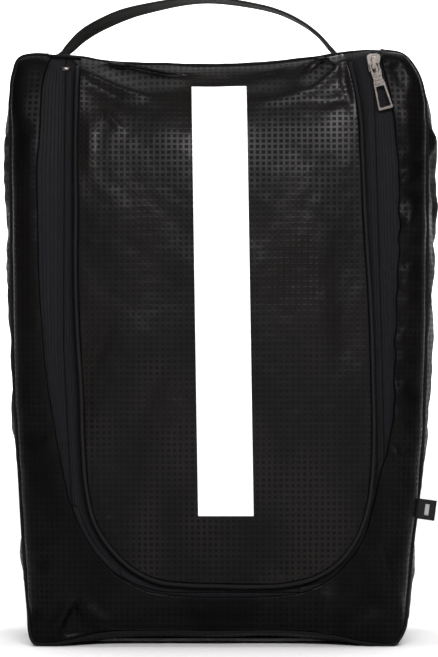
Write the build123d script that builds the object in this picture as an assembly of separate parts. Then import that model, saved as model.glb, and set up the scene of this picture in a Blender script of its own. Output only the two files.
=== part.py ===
from build123d import *
import math
import os

# Soft golf shoe bag: a stuffed fabric box with a U-shaped zip in its front face.
# Millimetres. +X to the wearer's right of the front face, -Y out of the front face, +Z up.
# Origin: centre of the base, on the surface that the bag stands on.

# ---- driving dimensions ----
HEIGHT = 340.0            # base to top panel
FRONT_Y = -60.0           # outside of the front face
BACK_Y = 60.0             # outside of the back face
WALL = 1.6                # fabric with its coating and seam allowance
R_FRONT = 9.0             # rounding of the front face's edge
R_BACK = 6.0              # rounding of the back face's edge
SEAM_FRONT_Y = -42.0      # seam between front panels and gusset
SEAM_BACK_Y = 50.0        # seam between gusset and back panel
PIPING_R = 1.4            # corded piping in the two seams
FLAP_PIPING_R = 1.3       # corded piping round the flap
TAPE_T = 0.7              # zip tape
COIL_T = 1.6              # zip coil
COIL_W = 2.1
TAPE_GAP = 0.8            # from the zip's centre line to each half
STRAP_W = 20.0            # carry handle webbing
STRAP_T = 1.8
STRAP_Y = 2.0             # middle of the strap, front to back
FLAP_CLEAR = 0.3          # between the flap and the seam that it hangs from

# ---- outline of the bag seen from the front: x, z, corner radius ----
OUTLINE = [
    (-107.0, 0.0, 12.0), (107.0, 0.0, 12.0), (117.5, 110.0, 300.0), (122.0, 215.0, 300.0),
    (121.0, 300.0, 150.0), (113.0, HEIGHT, 14.0), (-113.0, HEIGHT, 14.0), (-121.0, 300.0, 150.0),
    (-122.0, 215.0, 300.0), (-117.5, 110.0, 300.0),
]
TOP = HEIGHT + 6.0
# edge of the flap, middle of the zip, and edge of the front surround: all U shapes, open at the top
FLAP_EDGE = [(-80.7, TOP, 0), (-76.2, 36.0, 60.0), (88.3, 36.0, 48.0), (77.3, TOP, 0)]
ZIP_LINE = [(-90.7, TOP, 0), (-90.0, 172.0, 200.0), (-82.0, 31.0, 60.0), (92.6, 31.0, 50.0),
            (94.0, 112.0, 250.0), (87.4, TOP, 0)]
SURROUND_EDGE = [(-99.5, TOP, 0), (-103.0, 250.0, 300.0), (-99.5, 160.0, 200.0), (-86.0, 27.0, 52.0),
                 (96.5, 27.0, 44.0), (101.0, 160.0, 250.0), (103.0, 250.0, 300.0), (96.8, TOP, 0)]


def xz_plane(y):
    return Plane(origin=(0, y, 0), x_dir=(1, 0, 0), z_dir=(0, -1, 0))


def rounded_face(points):
    """A closed outline with a radius at each corner (0 leaves it sharp)."""
    face = make_face(Polyline(*[(p[0], p[1]) for p in points], close=True))
    for x, z, r in points:
        if r > 0:
            corner = face.vertices().sort_by_distance((x, z, 0))[0]
            face = fillet(corner, r)
            face = face.face() if hasattr(face, "face") else face
    return face


def prism(points, y_front, y_back):
    face = rounded_face(points)
    return extrude(xz_plane(y_back) * face, amount=y_back - y_front)


def inset(points, d):
    """A convex outline moved in by d, its radii less d."""
    n = len(points)
    out = []
    for i in range(n):
        (x0, z0, _), (x1, z1, r), (x2, z2, _) = points[i - 1], points[i], points[(i + 1) % n]
        def line(ax, az, bx, bz):
            lx, lz = bx - ax, bz - az
            length = math.hypot(lx, lz)
            nx, nz = -lz / length, lx / length          # left of travel is inside
            return nx, nz, nx * ax + nz * az + d
        a1, b1, c1 = line(x0, z0, x1, z1)
        a2, b2, c2 = line(x1, z1, x2, z2)
        det = a1 * b2 - a2 * b1
        out.append(((c1 * b2 - c2 * b1) / det, (a1 * c2 - a2 * c1) / det, max(r - d, 0.5)))
    return out


def body_solid(d):
    """The whole rounded box, moved in by d all round."""
    solid = prism(inset(OUTLINE, d) if d else OUTLINE, FRONT_Y + d, BACK_Y - d)
    solid = fillet(solid.faces().sort_by(Axis.Y)[0].edges(), R_FRONT - d)
    solid = fillet(solid.faces().sort_by(Axis.Y)[-1].edges(), R_BACK - d)
    return solid


def block(x0, x1, y0, y1, z0, z1):
    return Pos((x0 + x1) / 2, (y0 + y1) / 2, (z0 + z1) / 2) * Box(x1 - x0, y1 - y0, z1 - z0)


def u_offset(points, d):
    """A U moved by d: plus is away from the flap's middle. Its ends stay at the top."""
    out = []
    n = len(points)
    pts = [(p[0], p[1]) for p in points]
    for i in range(n):
        def line(a, b):
            lx, lz = b[0] - a[0], b[1] - a[1]
            length = math.hypot(lx, lz)
            nx, nz = lz / length, -lx / length          # right of travel is outside
            return nx, nz, nx * a[0] + nz * a[1] + d
        if i == 0:
            a, b, c = line(pts[0], pts[1])
            out.append(((c - b * TOP) / a, TOP, 0))
        elif i == n - 1:
            a, b, c = line(pts[-2], pts[-1])
            out.append(((c - b * TOP) / a, TOP, 0))
        else:
            a1, b1, c1 = line(pts[i - 1], pts[i])
            a2, b2, c2 = line(pts[i], pts[i + 1])
            det = a1 * b2 - a2 * b1
            out.append(((c1 * b2 - c2 * b1) / det, (a1 * c2 - a2 * c1) / det, max(points[i][2] + d, 4.0)))
    return out


def u_prism(points, y0=-75.0, y1=-30.0):
    return prism(points, y0, y1)


def solids_of(shape):
    return Compound(children=list(shape.solids())) if len(shape.solids()) > 1 else shape.solids()[0]


os.makedirs("parts", exist_ok=True)
written = []


def save(name, shape):
    shape = solids_of(shape)
    export_step(shape, f"parts/{name}.step")
    written.append(name)
    print(name, "solids", len(shape.solids()), "volume", round(sum(s.volume for s in shape.solids())))
    return shape


# ---- fabric shell ----
outer = body_solid(0.0)
inner = body_solid(WALL)
shell = outer - inner
FRONT_CUT = block(-200, 200, -100, SEAM_FRONT_Y - PIPING_R, -20, 400)
RING_CUT = block(-200, 200, SEAM_FRONT_Y + PIPING_R, SEAM_BACK_Y - PIPING_R, -20, 400)
BACK_CUT = block(-200, 200, SEAM_BACK_Y + PIPING_R, 100, -20, 400)
FLAP_CUT = block(-200, 200, -100, SEAM_FRONT_Y - PIPING_R - FLAP_CLEAR, -20, 400)

front_shell = shell & FRONT_CUT
surround = front_shell - u_prism(SURROUND_EDGE)
save("front_surround", surround)

ring = shell & RING_CUT
top_zone = block(-103, 103, -60, 70, 320, 360)
base_zone = block(-95, 95, -60, 70, -5, 8)
save("top_panel", ring & top_zone)
save("base_panel", ring & base_zone)
sides = ring - top_zone - base_zone
save("side_gusset_left", sides & block(-200, 0, -60, 70, -20, 400))
save("side_gusset_right", sides & block(0, 200, -60, 70, -20, 400))
save("back_panel", shell & BACK_CUT)

# ---- corded piping in the seams, flush with the fabric ----
def tube(path, r):
    start = path @ 0
    direction = path % 0
    profile = Plane(origin=start, z_dir=direction) * Circle(r)
    return sweep(profile, path=path)


def polyline_path(points, y, close=False):
    plane = xz_plane(y)
    pts = [plane.from_local_coords((p[0], p[1], 0)) for p in points]
    if close:
        return FilletPolyline(*pts, radius=[p[2] for p in points], close=True)
    return FilletPolyline(*pts, radius=[p[2] for p in points[1:-1]])


seam_line = inset(OUTLINE, PIPING_R)
bl, br, r1, r2, r3, tr, tl, l3, l2, l1 = seam_line
front_run = [(-99.8, tl[1], 0), tl, l3, l2, l1, bl, br, r1, r2, r3, tr, (97.2, tr[1], 0)]
save("front_seam_piping", tube(polyline_path(front_run, SEAM_FRONT_Y), PIPING_R))
back_run = [(0, seam_line[0][1], 0), br, r1, r2, r3, tr, tl, l3, l2, l1, bl, (-0.01, seam_line[0][1], 0)]
save("back_seam_piping", tube(polyline_path(back_run, SEAM_BACK_Y), PIPING_R))

# The flap turns about this piping, which stands proud of the top panel's front edge.
hinge = Pos(-1.3, SEAM_FRONT_Y, HEIGHT) * Rot(0, 90, 0) * Cylinder(PIPING_R, 194.0)
save("flap_hinge_piping", hinge)

# ---- bound seam allowances inside ----
def binding(y):
    wide = prism(inset(OUTLINE, 2 * PIPING_R + 0.1), y - 0.7, y + 0.7)
    return wide - prism(inset(OUTLINE, 9.0), y - 2, y + 2)


save("front_seam_binding", binding(SEAM_FRONT_Y))
save("back_seam_binding", binding(SEAM_BACK_Y))

# ---- stiffener loose in the base ----
board = block(-91, 91, -39.5, 47.5, WALL + 0.1, WALL + 1.6)
board = fillet(board.edges().filter_by(Axis.Z), 8)
save("base_board", board)

# ---- flap ----
def layer(d0, d1):
    return (body_solid(d0) - body_solid(d1)) & FLAP_CUT


flap_panel = (shell & FLAP_CUT) & u_prism(FLAP_EDGE)
save("flap_panel", flap_panel)
tape_layer = layer(WALL + 0.1, WALL + 0.1 + TAPE_T)
lining_layer = layer(WALL + 0.1, WALL + 0.6)
coil_layer = layer(WALL + 0.2 + TAPE_T, WALL + 0.2 + TAPE_T + COIL_T)
save("flap_lining", lining_layer & u_prism(u_offset(FLAP_EDGE, -4.6)))

a_in = u_prism(u_offset(FLAP_EDGE, -4.0))
c_minus = u_prism(u_offset(ZIP_LINE, -TAPE_GAP))
c_plus = u_prism(u_offset(ZIP_LINE, TAPE_GAP))
save("zip_tape_flap_side", (tape_layer & c_minus) - a_in)
tape_out = (tape_layer & u_prism(u_offset(SURROUND_EDGE, 4.0))) - c_plus
save("zip_tape_body_side", tape_out)
save("zip_coil_flap_side", (coil_layer & c_minus) - u_prism(u_offset(ZIP_LINE, -TAPE_GAP - COIL_W)))
save("zip_coil_body_side", (coil_layer & u_prism(u_offset(ZIP_LINE, TAPE_GAP + COIL_W))) - c_plus)

flap_run = u_offset(FLAP_EDGE, FLAP_PIPING_R + 0.06)


def cut_at(a, b, z):
    return (a[0] + (b[0] - a[0]) * (z - a[1]) / (b[1] - a[1]), z, 0)


flap_run[0] = cut_at(flap_run[0], flap_run[1], 331.0)
flap_run[-1] = cut_at(flap_run[-1], flap_run[-2], 331.0)
piping_path = polyline_path(flap_run, FRONT_Y)
save("flap_piping", tube(piping_path, FLAP_PIPING_R))

# heat-transfer band on the flap: one plain bar
BAND = [(-15.5, 320.0, 1.2), (-12.0, 74.5, 1.2), (20.0, 74.5, 1.2), (16.5, 320.0, 1.2)]
save("flap_print", prism(BAND, FRONT_Y - 0.2, FRONT_Y))

# ---- zip end stops, on the body side of each end of the zip ----
def end_stop(sign):
    x = (ZIP_LINE[0][0] if sign < 0 else ZIP_LINE[-1][0]) + sign * (TAPE_GAP + 1.5)
    z_tape = HEIGHT - WALL - 0.1
    return block(x - 1.3, x + 1.3, -49.0, -46.2, z_tape + 0.02, z_tape + 1.2)


save("zip_end_stop_left", end_stop(-1))
save("zip_end_stop_right", end_stop(1))

# ---- slider, in a frame of its own: u across the zip, w up it, n out of the face ----
dx = ZIP_LINE[-1][0] - ZIP_LINE[-2][0]
dz = ZIP_LINE[-1][1] - ZIP_LINE[-2][1]
leg = math.hypot(dx, dz)
W_DIR = Vector(dx / leg, 0, dz / leg)
SLIDER_Z = 332.0
slider_x = ZIP_LINE[-2][0] + dx * (SLIDER_Z - ZIP_LINE[-2][1]) / dz
TAPE_FRONT = FRONT_Y + WALL + 0.1
slider_frame = Plane(origin=(slider_x, TAPE_FRONT, SLIDER_Z), x_dir=Vector(W_DIR.Z, 0, -W_DIR.X), z_dir=(0, -1, 0))
shield = [(-3.0, -5.2, 0.8), (3.0, -5.2, 0.8), (3.5, -0.5, 1.5), (4.3, 4.2, 1.5), (2.0, 5.4, 1.0), (-2.0, 5.4, 1.0),
          (-4.3, 4.2, 1.5), (-3.5, -0.5, 1.5)]
plate_face = rounded_face(shield)


def in_slider(solid):
    return slider_frame * solid


front_plate = Pos(0, 0, 0.15) * extrude(plate_face, amount=1.3)
front_plate = fillet(front_plate.faces().sort_by(Axis.Z)[-1].edges(), 0.4)
neck = block(-0.55, 0.55, -2.0, 2.6, -3.8, 0.5)
rear_plate = (Pos(0, 0, -4.5) * extrude(plate_face, amount=1.0)) & block(-6, 0.55, -6, 0.8, -5, -2)
slider = front_plate + neck + rear_plate
save("zip_slider", in_slider(slider))
SLIDER_TOP = 1.45
# bridge: an arch along the slider that the pull hangs from
arch = block(-1.0, 1.0, -4.2, 4.2, SLIDER_TOP, SLIDER_TOP + 3.1)
arch -= block(-2, 2, -3.0, 3.0, SLIDER_TOP - 1, SLIDER_TOP + 2.0)
arch = fillet(arch.edges().filter_by(Axis.X).sort_by(Axis.Z)[-2:], 0.9)
save("zip_slider_bridge", in_slider(arch))

# ---- pull, turned a little to the right where it hangs ----
PULL_TILT = 15.0
PIVOT_N = SLIDER_TOP + 1.15
pivot = slider_frame.from_local_coords((0, -0.4, PIVOT_N))
t = math.radians(PULL_TILT)
pull_frame = Plane(origin=pivot, x_dir=(math.cos(t), 0, math.sin(t)), z_dir=(0, -1, 0))
PULL_T = 1.3
plate = [(-3.3, 1.0, 1.6), (-4.3, -26.8, 1.0), (4.3, -26.8, 1.0), (3.3, 1.0, 1.6)]
pull = extrude(rounded_face(plate), amount=PULL_T)
eye = extrude(rounded_face([(-2.3, -0.55, 0.4), (-2.3, -5.1, 0.8), (2.3, -5.1, 0.8), (2.3, -0.55, 0.4)]), amount=6)
window = extrude(rounded_face([(-2.5, -13.6, 0.6), (-2.9, -25.0, 0.7), (2.9, -25.0, 0.7), (2.5, -13.6, 0.6)]), amount=6)
pull = pull - Pos(0, 0, -2) * eye - Pos(0, 0, -2) * window
pull = pull - block(-5, 5, -0.55, 3, -1, 3) + Pos(0, 0, PULL_T / 2) * Rot(0, 90, 0) * Cylinder(0.65, 5.4)
pull = Pos(0, 0, -PULL_T / 2) * pull
save("zip_pull", pull_frame * pull)

# ---- carry handle: webbing that rises from the top panel at each end ----
HANDLE_LINE = [(-92.5, 342.2), (-81.6, 353.2), (-63.9, 363.6), (-37.0, 371.6), (-10.5, 375.2), (16.3, 372.8), (43.0, 365.0),
               (59.5, 353.6), (69.2, 342.2)]


def ribbon(points, t0, t1):
    spline = Spline(*[(x, z) for x, z in points], tangents=[(0.62, 0.78), (0.62, -0.78)])
    n = 26
    up, down = [], []
    for i in range(n + 1):
        p, d = spline @ (i / n), spline % (i / n)
        nx, nz = -d.Y, d.X
        up.append((p.X + nx * t1, p.Y + nz * t1))
        down.append((p.X + nx * t0, p.Y + nz * t0))
    top, low = Spline(*up), Spline(*down)
    return make_face([top, low, Line(up[0], down[0]), Line(up[-1], down[-1])])


strap_face = ribbon(HANDLE_LINE, -STRAP_T / 2, STRAP_T / 2)
strap_all = extrude(xz_plane(STRAP_Y + STRAP_W / 2) * strap_face, amount=STRAP_W)
CUT_L, CUT_R = -82.4, 60.4        # the strap folds about a line through these ends, 12 mm above the top
save("handle_strap", strap_all & block(CUT_L, CUT_R, -30, 40, 330, 400))


def handle_end(sign, x_cut, x_foot, x_far):
    stub = strap_all & (block(-200, x_cut - 0.4, -30, 40, HEIGHT + 0.05, 400) if sign < 0 else block(x_cut + 0.4, 200, -30, 40, HEIGHT + 0.05, 400))
    lo, hi = min(x_foot, x_far), max(x_foot, x_far)
    foot = block(lo, hi, STRAP_Y - STRAP_W / 2, STRAP_Y + STRAP_W / 2, HEIGHT, HEIGHT + STRAP_T)
    return stub + foot


save("handle_end_left", handle_end(-1, CUT_L, -90.6, -101.5))
save("handle_end_right", handle_end(1, CUT_R, 67.6, 90.0))

# ---- folded woven label in the right-hand seam, with a plain bar woven in ----
LABEL_Z = 79.0
label_x = 107.0 + (117.5 - 107.0) * (LABEL_Z + 5.2) / 110.0 + 0.1
label = block(label_x, label_x + 7.2, SEAM_FRONT_Y - 0.5, SEAM_FRONT_Y + 0.5, LABEL_Z - 5.2, LABEL_Z + 5.2)
save("side_label", label)
mark = block(label_x + 2.2, label_x + 5.2, SEAM_FRONT_Y - 0.65, SEAM_FRONT_Y - 0.5, LABEL_Z - 3.0, LABEL_Z + 3.0)
save("side_label_mark", mark)

print(len(written), "nodes")
print("slider frame", slider_frame.origin, "travel dir", W_DIR)
print("pull pivot", pivot, "pull axis", pull_frame.x_dir)
print("label x", label_x)
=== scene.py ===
import bpy
import math
import numpy as np
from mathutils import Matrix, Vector


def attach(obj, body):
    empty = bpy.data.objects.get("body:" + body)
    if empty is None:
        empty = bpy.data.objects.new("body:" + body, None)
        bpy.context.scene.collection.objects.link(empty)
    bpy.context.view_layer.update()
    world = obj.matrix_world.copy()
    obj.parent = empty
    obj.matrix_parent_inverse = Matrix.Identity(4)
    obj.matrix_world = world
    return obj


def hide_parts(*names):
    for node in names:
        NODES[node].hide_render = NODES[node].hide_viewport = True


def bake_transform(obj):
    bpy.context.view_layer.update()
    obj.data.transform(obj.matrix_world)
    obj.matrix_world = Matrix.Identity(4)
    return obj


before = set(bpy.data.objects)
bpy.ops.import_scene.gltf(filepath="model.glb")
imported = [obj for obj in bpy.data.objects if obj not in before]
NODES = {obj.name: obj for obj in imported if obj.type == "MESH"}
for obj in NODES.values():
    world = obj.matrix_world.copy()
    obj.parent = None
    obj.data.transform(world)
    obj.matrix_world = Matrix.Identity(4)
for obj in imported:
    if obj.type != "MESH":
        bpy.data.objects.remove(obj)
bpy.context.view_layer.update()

# Everything below is worked out in millimetres in the row frame, and scaled to metres when a mesh is made.
MM = 0.001


# =====================================================================================================
# curves, noise and mesh helpers
# =====================================================================================================
def catmull(points, per=24, closed=False):
    """A smooth line through points, chord-length tangents."""
    P = np.asarray(points, float)
    n = len(P)
    segs = n if closed else n - 1

    def at(i):
        return P[i % n] if closed else P[min(max(i, 0), n - 1)]

    out = []
    t = np.linspace(0, 1, per, endpoint=False)[:, None]
    for i in range(segs):
        p0, p1, p2, p3 = at(i - 1), at(i), at(i + 1), at(i + 2)
        d0, d1, d2 = (np.linalg.norm(b - a) + 1e-9 for a, b in ((p0, p1), (p1, p2), (p2, p3)))
        first, last = (not closed and i == 0), (not closed and i == segs - 1)
        m1 = (p2 - p1) if first else ((p1 - p0) / d0 - (p2 - p0) / (d0 + d1) + (p2 - p1) / d1) * d1
        m2 = (p2 - p1) if last else ((p2 - p1) / d1 - (p3 - p1) / (d1 + d2) + (p3 - p2) / d2) * d1
        out.append((2 * t**3 - 3 * t**2 + 1) * p1 + (t**3 - 2 * t**2 + t) * m1 + (-2 * t**3 + 3 * t**2) * p2 + (t**3 - t**2) * m2)
    if not closed:
        out.append(P[-1:])
    return np.vstack(out)


def arclen(Q):
    return np.r_[0, np.cumsum(np.linalg.norm(np.diff(Q, axis=0), axis=1))]


def resample(Q, n, closed=False):
    if closed:
        Q = np.vstack([Q, Q[:1]])
    d = arclen(Q)
    t = np.linspace(0, d[-1], n + 1)[:-1] if closed else np.linspace(0, d[-1], n)
    return np.stack([np.interp(t, d, Q[:, k]) for k in range(Q.shape[1])], 1)


def smoothstep(a, b, x):
    t = np.clip((np.asarray(x, float) - a) / (b - a), 0, 1)
    return t * t * (3 - 2 * t)


def interp(keys, x):
    """Smooth (monotone cubic) interpolation through (x, value) keys."""
    k = np.asarray(keys, float)
    xs, ys = k[:, 0], k[:, 1]
    h = np.diff(xs)
    d = np.diff(ys) / h
    m = np.zeros(len(xs))
    m[0], m[-1] = d[0], d[-1]
    for i in range(1, len(xs) - 1):
        if d[i - 1] * d[i] > 0:
            w1, w2 = 2 * h[i] + h[i - 1], h[i] + 2 * h[i - 1]
            m[i] = (w1 + w2) / (w1 / d[i - 1] + w2 / d[i])
    x = np.clip(np.asarray(x, float), xs[0], xs[-1])
    i = np.clip(np.searchsorted(xs, x) - 1, 0, len(h) - 1)
    t = (x - xs[i]) / h[i]
    return ((2 * t**3 - 3 * t**2 + 1) * ys[i] + (t**3 - 2 * t**2 + t) * h[i] * m[i]
            + (-2 * t**3 + 3 * t**2) * ys[i + 1] + (t**3 - t**2) * h[i] * m[i + 1])


def waves(X, Z, n, lmin, lmax, seed, ang=0.0, spread=math.pi):
    """Soft noise of about unit size from plane waves, wavelengths lmin to lmax mm."""
    r = np.random.default_rng(seed)
    out = np.zeros(np.broadcast(X, Z).shape)
    for _ in range(n):
        L = lmin * (lmax / lmin) ** r.random()
        a = ang + (r.random() - 0.5) * 2 * spread
        out = out + np.sin(2 * math.pi * (X * math.cos(a) + Z * math.sin(a)) / L + 2 * math.pi * r.random()) * (L / lmax)
    return out / math.sqrt(n / 2.0)


def ridge(X, Z, pts, amp, s1, s2=None, ends=(0.25, 0.25)):
    """A fold along a line: amp mm high, s1 wide on the line's left and s2 on its right, dying out at its ends."""
    s2 = s1 if s2 is None else s2
    Q = resample(catmull(pts, 12), 26)
    best = np.full(X.shape, 1e9)
    side = np.zeros(X.shape)
    along = np.zeros(X.shape)
    n = len(Q) - 1
    for i in range(n):
        a, b = Q[i], Q[i + 1]
        d = b - a
        L2 = float(d @ d) + 1e-9
        t = np.clip(((X - a[0]) * d[0] + (Z - a[1]) * d[1]) / L2, 0, 1)
        ex, ez = X - (a[0] + t * d[0]), Z - (a[1] + t * d[1])
        dist = np.hypot(ex, ez)
        near = dist < best
        best = np.where(near, dist, best)
        side = np.where(near, d[0] * ez - d[1] * ex, side)
        along = np.where(near, (i + t) / n, along)
    s = np.where(side > 0, s1, s2)
    env = smoothstep(0, max(ends[0], 1e-3), along) * (1 - smoothstep(1 - max(ends[1], 1e-3), 1, along))
    return amp * env * np.exp(-(best / s) ** 2)


def nearest(P, Q):
    """For each point of P, the nearest point of the dense line Q, kept in order along it."""
    d = ((P[:, None, :2] - Q[None, :, :2]) ** 2).sum(2)
    i = np.maximum.accumulate(d.argmin(1))
    return i


def smooth_line(P, k=7, times=2):
    w = np.hanning(k + 2)[1:-1]
    w /= w.sum()
    out = P.copy()
    for _ in range(times):
        pad = np.vstack([2 * out[:1] - out[1:k // 2 + 1][::-1], out, 2 * out[-1:] - out[-k // 2:-1][::-1]])
        pad = np.vstack([np.repeat(out[:1], k // 2, 0), out, np.repeat(out[-1:], k // 2, 0)])
        out = np.stack([np.convolve(pad[:, c], w, "valid") for c in range(P.shape[1])], 1)
    out[0], out[-1] = P[0], P[-1]
    return out


def mesh_object(name, verts, faces, uvs=None, mat=None, shade=True, mats=None, mat_index=None):
    me = bpy.data.meshes.new(name)
    me.from_pydata((np.asarray(verts, float) * MM).tolist(), [], faces)
    me.update()
    if uvs is not None:
        layer = me.uv_layers.new(name="UVMap")
        idx = np.zeros(len(me.loops), np.int32)
        me.loops.foreach_get("vertex_index", idx)
        layer.data.foreach_set("uv", (np.asarray(uvs, float)[idx] * MM).ravel().astype(np.float32))
    for m in (mats or ([mat] if mat else [])):
        me.materials.append(m)
    if mat_index is not None:
        me.polygons.foreach_set("material_index", np.asarray(mat_index, np.int32))
    if shade:
        me.polygons.foreach_set("use_smooth", [True] * len(me.polygons))
    ob = bpy.data.objects.new(name, me)
    bpy.context.scene.collection.objects.link(ob)
    return ob


def grid_faces(nr, nc, closed_c=False, flip=False, base=0):
    r, c = np.meshgrid(np.arange(nr - 1), np.arange(nc if closed_c else nc - 1), indexing="ij")
    a = r * nc + c
    b = r * nc + (c + 1) % nc
    f = np.stack([a, b, b + nc, a + nc], -1).reshape(-1, 4) + base
    if flip:
        f = f[:, ::-1]
    return f.tolist()


def sheet_object(name, G, UV, mat, thick=0.0, flip=False, closed_c=False, inner_mat=None):
    """A grid of points as a fabric panel; thick adds its thickness on the inside."""
    nr, nc = G.shape[:2]
    ob = mesh_object(name, G.reshape(-1, 3), grid_faces(nr, nc, closed_c, flip), UV.reshape(-1, 2), mat)
    if inner_mat is not None:
        ob.data.materials.append(inner_mat)
    if thick:
        m = ob.modifiers.new("thickness", "SOLIDIFY")
        m.thickness = thick * MM
        m.offset = -1.0
        m.use_even_offset = False
        if inner_mat is not None:
            m.material_offset = 1
    return ob


def tube_object(name, path, r, mat, sides=10, closed=False, wobble=0.0, seed=1, caps=True, squash=1.0, up=(0, 1, 0)):
    P = np.asarray(path, float)
    n = len(P)
    T = np.roll(P, -1, 0) - np.roll(P, 1, 0) if closed else np.gradient(P, axis=0)
    T /= np.linalg.norm(T, axis=1)[:, None] + 1e-12
    U = np.asarray(up, float) - T * (T @ np.asarray(up, float))[:, None]
    U /= np.linalg.norm(U, axis=1)[:, None] + 1e-12
    V = np.cross(T, U)
    L = arclen(P)
    rr = np.full(n, float(r))
    if wobble:
        rr = rr * (1 + wobble * waves(L, L * 0, 10, 5, 30, seed))
    a = np.linspace(0, 2 * math.pi, sides, endpoint=False)
    G = P[:, None] + rr[:, None, None] * (np.cos(a)[None, :, None] * U[:, None] * squash + np.sin(a)[None, :, None] * V[:, None])
    UV = np.stack(np.broadcast_arrays(a[None, :] * r, L[:, None]), -1)
    if closed:
        G = np.concatenate([G, G[:1]], 0)
        UV = np.concatenate([UV, UV[:1] + [[0, L[-1] + 1]]], 0)
        faces = []
        nr = n
        for i in range(n):
            for j in range(sides):
                a0, b0 = i * sides + j, i * sides + (j + 1) % sides
                i2 = (i + 1) % n
                faces.append((a0, b0, i2 * sides + (j + 1) % sides, i2 * sides + j))
        return mesh_object(name, G[:n].reshape(-1, 3), faces, UV[:n].reshape(-1, 2), mat)
    faces = grid_faces(n, sides, True, False)
    if caps:
        faces += [list(range(sides))[::-1], list(range((n - 1) * sides, n * sides))]
    return mesh_object(name, G.reshape(-1, 3), faces, UV.reshape(-1, 2), mat)


def join_meshes(name, parts, mat, uvs=True):
    """parts: list of (verts, faces, uvs)."""
    V, F, U, b = [], [], [], 0
    for v, f, u in parts:
        V.append(v)
        U.append(u)
        F += [[i + b for i in q] for q in f]
        b += len(v)
    return mesh_object(name, np.vstack(V), F, np.vstack(U), mat)


# =====================================================================================================
# materials: every one is worked out from nodes, in real sizes (UVs are in metres)
# =====================================================================================================
class Nodes:
    def __init__(self, name):
        self.m = bpy.data.materials.new(name)
        self.m.use_nodes = True
        self.t = self.m.node_tree
        self.t.nodes.clear()
        self.out = self.t.nodes.new("ShaderNodeOutputMaterial")
        self.p = self.t.nodes.new("ShaderNodeBsdfPrincipled")
        self.t.links.new(self.p.outputs[0], self.out.inputs[0])

    def new(self, kind, **kw):
        n = self.t.nodes.new(kind)
        for k, v in kw.items():
            setattr(n, k, v)
        return n

    def link(self, a, b):
        self.t.links.new(a, b)

    def put(self, sock, v):
        if hasattr(v, "is_output") or isinstance(v, bpy.types.NodeSocket):
            self.link(v, sock)
        else:
            sock.default_value = v

    def math(self, op, a, b=None, c=None, clamp=False):
        n = self.new("ShaderNodeMath", operation=op, use_clamp=clamp)
        for s, v in zip(n.inputs, (a, b, c)):
            if v is not None:
                self.put(s, v)
        return n.outputs[0]

    def mix(self, f, a, b):
        n = self.new("ShaderNodeMix", data_type="RGBA")
        self.put(n.inputs[0], f)
        for s, v in ((n.inputs[6], a), (n.inputs[7], b)):
            if isinstance(v, tuple) and len(v) == 3:
                v = (*v, 1)
            self.put(s, v)
        return n.outputs[2]

    def ramp(self, x, lo, hi, a=0.0, b=1.0):
        n = self.new("ShaderNodeMapRange", interpolation_type="SMOOTHSTEP")
        for s, v in zip(n.inputs, (x, lo, hi, a, b)):
            self.put(s, v)
        return n.outputs[0]

    def noise(self, vec, scale, detail=2.0, rough=0.5, out=0):
        n = self.new("ShaderNodeTexNoise")
        self.put(n.inputs["Vector"], vec)
        n.inputs["Scale"].default_value = scale
        n.inputs["Detail"].default_value = detail
        n.inputs["Roughness"].default_value = rough
        return n.outputs[out]

    def uv(self):
        n = self.new("ShaderNodeUVMap", uv_map="UVMap")
        s = self.new("ShaderNodeSeparateXYZ")
        self.link(n.outputs[0], s.inputs[0])
        return n.outputs[0], s.outputs[0], s.outputs[1]

    def obj(self):
        return self.new("ShaderNodeTexCoord").outputs["Object"]

    def bump(self, height, dist, strength=1.0, normal=None):
        n = self.new("ShaderNodeBump")
        n.inputs["Strength"].default_value = strength
        n.inputs["Distance"].default_value = dist
        self.put(n.inputs["Height"], height)
        if normal is not None:
            self.link(normal, n.inputs["Normal"])
        return n.outputs[0]

    def done(self, color, rough, normal=None, **consts):
        if isinstance(color, tuple):
            self.p.inputs["Base Color"].default_value = (*color, 1)
        else:
            self.link(color, self.p.inputs["Base Color"])
        self.put(self.p.inputs["Roughness"], rough)
        if normal is not None:
            self.link(normal, self.p.inputs["Normal"])
        for k, v in consts.items():
            self.p.inputs[k.replace("_", " ")].default_value = v
        return self.m


def cell(n, u, pitch):
    """Distance from the middle of a repeating cell, 0 at its middle and 1 at its edge."""
    f = n.math("FRACT", n.math("DIVIDE", u, pitch))
    return n.math("MULTIPLY", n.math("ABSOLUTE", n.math("SUBTRACT", f, 0.5)), 2.0)


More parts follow.
